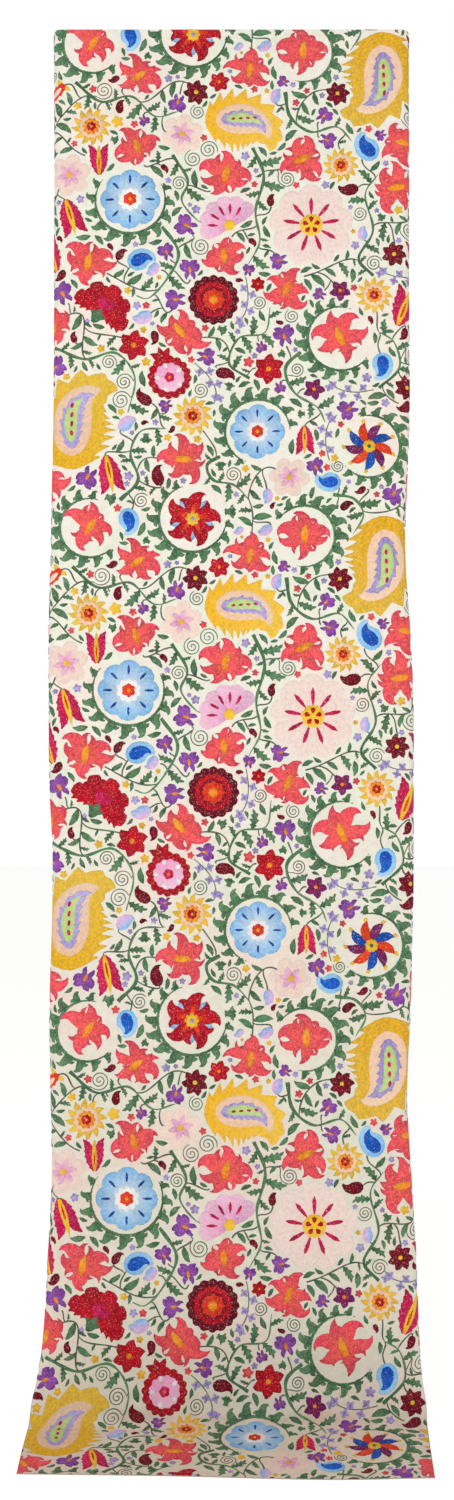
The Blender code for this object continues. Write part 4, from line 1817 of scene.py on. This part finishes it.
def cut_to_cloth(arrays, front, sunk):
    """Cut patches at the cloth's edges, and take their cut rims down into it."""
    flat = np.column_stack([arrays["flat"], arrays["height"]])
    mesh = new_mesh("cut", flat, arrays["faces"])
    sizes = {name: 1 if arrays[name].ndim == 1 else arrays[name].shape[1] for name in COPIED}
    for name in COPIED:
        padded = np.zeros((len(flat), 3))
        padded[:, :sizes[name]] = arrays[name].reshape(len(flat), -1)
        carry(mesh, name, "FLOAT_VECTOR", "vector", padded)
    planes = (
        (Vector((HALF_LAID, 0, 0)), Vector((1, 0, 0))),
        (Vector((-HALF_LAID, 0, 0)), Vector((-1, 0, 0))),
        (Vector((0, EDGE_GAP, 0)), Vector((0, -1, 0))),
        (Vector((0, front, 0)), Vector((0, 1, 0))),
    )
    body = bmesh.new()
    body.from_mesh(mesh)
    for place, out in planes:
        for inset, clear in ((RING, False), (0.0, True)):
            geometry = list(body.verts) + list(body.edges) + list(body.faces)
            bmesh.ops.bisect_plane(
                body, geom=geometry, dist=1e-4, plane_co=place - out * inset, plane_no=out, clear_outer=clear
            )
    bmesh.ops.triangulate(body, faces=list(body.faces))
    body.to_mesh(mesh)
    body.free()
    count = len(mesh.vertices)
    points = np.zeros(count * 3, np.float32)
    mesh.vertices.foreach_get("co", points)
    points = points.reshape(-1, 3)
    result = {"flat": points[:, :2].astype(float)}
    for name in COPIED:
        values = np.zeros(count * 3, np.float32)
        mesh.attributes[name].data.foreach_get("vector", values)
        values = values.reshape(-1, 3)[:, :sizes[name]].astype(float)
        result[name] = values[:, 0] if sizes[name] == 1 else values
    faces = np.zeros(len(mesh.loops), np.int32)
    mesh.loops.foreach_get("vertex_index", faces)
    result["faces"] = faces.reshape(-1, 3)
    across, down = result["flat"].T
    from_edge = np.minimum(HALF_LAID - np.abs(across), np.minimum(down - EDGE_GAP, front - down))
    result["height"] = np.where(from_edge < AT_EDGE, sunk, result["height"])
    bpy.data.meshes.remove(mesh)
    return result


def add_object(name, mesh, material):
    piece = bpy.data.objects.new(name, mesh)
    bpy.context.scene.collection.objects.link(piece)
    mesh.materials.append(material)
    mesh.shade_smooth()
    return piece


def lay_map(mesh, places):
    """The map named OFBake, from a place in 0 to 1 for each vertex."""
    layer = mesh.uv_layers.new(name="OFBake")
    corners = np.zeros(len(mesh.loops), np.int32)
    mesh.loops.foreach_get("vertex_index", corners)
    layer.data.foreach_set("uv", np.asarray(places[corners], np.float32).ravel())


def embroider(name, stitches, material, front=1000.0 * CUT_LENGTH - EDGE_GAP, sunk=SUNK):
    """One embroidered piece: all its patches on the cloth, in every repeat, as far as front."""
    whole, cut = copies_on_cloth(stitches, front)
    sets = [joined(whole)]
    if cut:
        sets.append(cut_to_cloth(joined(cut), front, sunk))
    starts = (0, len(sets[0]["flat"]))
    arrays = {key: np.concatenate([part[key] for part in sets]) for key in COPIED + ("flat",)}
    faces = np.concatenate([part["faces"] + start for part, start in zip(sets, starts)])
    across, down = arrays["flat"][:, 0] / 1000.0, arrays["flat"][:, 1] / 1000.0
    points = lay_on_cloth(across, down, THICKNESS + arrays["height"] / 1000.0)
    mesh = new_mesh(name, points, faces)
    arrays["dye"] = np.column_stack([arrays["dye"], np.ones(len(points))])
    for attribute, kind, field in CARRIED:
        carry(mesh, attribute, kind, field, arrays[attribute])
    lay_map(mesh, arrays["map"])
    return add_object(name, mesh, material)


# The ground cloth

MAP_GAP = 0.010                   # between the two strips of the ground's map, m


def even_stops(start, end, step):
    count = max(1, math.ceil((end - start) / step))
    return list(np.linspace(start, end, count, endpoint=False))


def down_stops():
    """Rows of the ground's mesh. One row lies halfway, where its map is folded into two strips."""
    bend_start = HANG_LENGTH + LEAN_LENGTH
    bend_end = bend_start + BEND_LENGTH
    stops = even_stops(0.0, 0.5 * CUT_LENGTH, HANG_STEP)
    stops += even_stops(0.5 * CUT_LENGTH, HANG_LENGTH, HANG_STEP)
    stops += even_stops(HANG_LENGTH, bend_start, 1.5 * TURN_STEP)
    stops += even_stops(bend_start, bend_end, TURN_STEP)
    stops += even_stops(bend_end, CUT_LENGTH, FLOOR_STEP)
    return np.array(stops + [CUT_LENGTH])


def across_stops():
    half = CUT_WIDTH / 2.0
    stops = even_stops(-half, EDGE_BAND - half, EDGE_STEP)
    stops += even_stops(EDGE_BAND - half, half - EDGE_BAND, FLAT_STEP)
    stops += even_stops(half - EDGE_BAND, half, EDGE_STEP)
    return np.array(stops + [half])


def make_ground():
    """The ground cloth: a thin sheet with a face, a back and its cut edges."""
    rows, columns = down_stops(), across_stops()
    down, across = (part.ravel() for part in np.meshgrid(rows, columns, indexing="ij"))
    wide, tall = len(columns), len(rows)
    face = lay_on_cloth(across, down, np.full(len(down), THICKNESS))
    back = lay_on_cloth(across, down, np.zeros(len(down)))
    row, column = (part.ravel() for part in np.meshgrid(range(tall - 1), range(wide - 1), indexing="ij"))
    corner = row * wide + column
    quads = np.stack([corner, corner + wide, corner + wide + 1, corner + 1], 1)
    count = len(down)
    rim = list(range(wide))
    rim += [i * wide + wide - 1 for i in range(1, tall)]
    rim += [(tall - 1) * wide + i for i in range(wide - 2, -1, -1)]
    rim += [i * wide for i in range(tall - 2, 0, -1)]
    rim = np.array(rim)
    after = np.roll(rim, -1)
    sides = np.stack([rim, after, after + count, rim + count], 1)
    faces = np.vstack([quads, quads[:, ::-1] + count, sides])
    mesh = new_mesh("ground_cloth", np.vstack([face, back]), faces)
    on_rim = np.zeros(2 * count, bool)
    on_rim[np.concatenate([rim, rim + count])] = True
    ends = np.zeros(2 * len(mesh.edges), np.int32)
    mesh.edges.foreach_get("vertices", ends)
    ends = ends.reshape(-1, 2)
    sharp = on_rim[ends].all(1) & ((ends[:, 0] < count) == (ends[:, 1] < count))
    mesh.attributes.new("sharp_edge", "BOOLEAN", "EDGE").data.foreach_set("value", sharp)
    both = np.stack([across, down, np.zeros(count)], 1)
    carry(mesh, "lay", "FLOAT_VECTOR", "vector", np.vstack([both, both]))
    lower = np.repeat(down[faces % count].mean(1) > 0.5 * CUT_LENGTH, 4)
    corners = (faces % count).ravel()
    side = 0.5 * CUT_LENGTH + 2.0 * MAP_GAP
    across_map = across[corners] + 0.5 * CUT_WIDTH + MAP_GAP + lower * (CUT_WIDTH - 2.0 * MAP_GAP)
    across_map = (across_map - 0.5 * MAP_GAP) / (2.0 * CUT_WIDTH)
    down_map = 1.0 - (down[corners] - lower * 0.5 * CUT_LENGTH + MAP_GAP) / side
    layer = mesh.uv_layers.new(name="OFBake")
    layer.data.foreach_set("uv", np.stack([across_map, down_map], 1).astype(np.float32).ravel())
    return add_object("ground_cloth", mesh, ground_finish())


# Studio

WHITE = (1.0, 1.0, 1.0, 1.0)
FLOOR_SIZE = 30.0
FLOOR_GAP = 0.0002                # the floor lies this far under the cloth
FLOOR_GLOW = 0.46
LOW_SKY, HIGH_SKY = 0.22, 0.72    # soft light from all round, at the horizon and overhead
LAMP_COLUMNS = ("name", "place", "power")
LAMPS = (
    ("left_softbox", (-1.55, -2.20, -0.70), 16.5),
    ("right_softbox", (1.55, -2.20, -0.70), 10.5),
)
LAMP_AIM = (0.0, 0.0, -0.75)
LAMP_WIDTH, LAMP_HEIGHT = 0.8, 1.6


def make_floor():
    """A plain pale floor, just under the cloth."""
    corners = FLOOR_SIZE * np.array([(-1, -1, 0), (1, -1, 0), (1, 1, 0), (-1, 1, 0)])
    mesh = new_mesh("floor", corners - (0.0, 0.0, DROP + FLOOR_GAP), np.array([(0, 1, 2, 3)]))
    material = Finish(bpy.data.materials.new("pale_floor")).feed(
        Base_Color=opaque(srgb(250, 249, 248)),
        Roughness=0.9,
        Specular_IOR_Level=0.1,
        Emission_Color=WHITE,
        Emission_Strength=FLOOR_GLOW,
    )
    return add_object("floor", mesh, material)


def aim(item, target):
    item.rotation_euler = (Vector(target) - item.location).to_track_quat("-Z", "Y").to_euler()


def set_studio():
    """Soft white light from all round, and a tall softbox at each side in front."""
    scene = bpy.context.scene
    scene.view_settings.view_transform = "Standard"
    world = bpy.data.worlds.new("studio")
    scene.world = world
    sky = Finish(world, "Background")
    height = sky.parts(sky.node("ShaderNodeTexCoord", output="Generated"))[2]
    glow = sky.node("ShaderNodeMapRange", inputs={"Value": height, "To Min": LOW_SKY, "To Max": HIGH_SKY})
    seen = sky.node("ShaderNodeLightPath", output="Is Camera Ray")
    strength = sky.node("ShaderNodeMapRange", inputs={"Value": seen, "To Min": glow, "To Max": 1.0})
    sky.feed(Color=WHITE, Strength=strength)
    for row in rows_of(LAMPS, LAMP_COLUMNS):
        light = bpy.data.lights.new(row["name"], "AREA")
        light.shape = "RECTANGLE"
        light.size, light.size_y = LAMP_WIDTH, LAMP_HEIGHT
        light.energy = row["power"]
        lamp = bpy.data.objects.new(row["name"], light)
        lamp.location = row["place"]
        aim(lamp, LAMP_AIM)
        scene.collection.objects.link(lamp)


def set_camera():
    """The photograph's view: a little above waist height, square on to the cloth."""
    camera = bpy.data.cameras.new("camera")
    camera.lens = CAMERA_LENS
    camera.sensor_width = CAMERA_SENSOR
    viewer = bpy.data.objects.new("camera", camera)
    viewer.location = CAMERA_PLACE
    viewer.rotation_euler = (CAMERA_PITCH, 0.0, 0.0)
    bpy.context.scene.collection.objects.link(viewer)
    bpy.context.scene.camera = viewer


set_camera()
set_studio()
make_floor()

ground = make_ground()
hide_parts("cloth")
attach(ground, "root")

design = make_design(DESIGN_SEED)
stitched = mesh_design(design, STITCH_SEED)
thread = thread_finish()
embroidery = [embroider("stitched_" + name, stitched[name], thread) for name in EMBROIDERED]
reverse = mesh_reverse(design, STITCH_SEED)
embroidery.append(embroider("stitched_reverse", reverse, thread, REVERSE_FRONT, REVERSE_SUNK))
for piece in embroidery:
    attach(piece, "root")
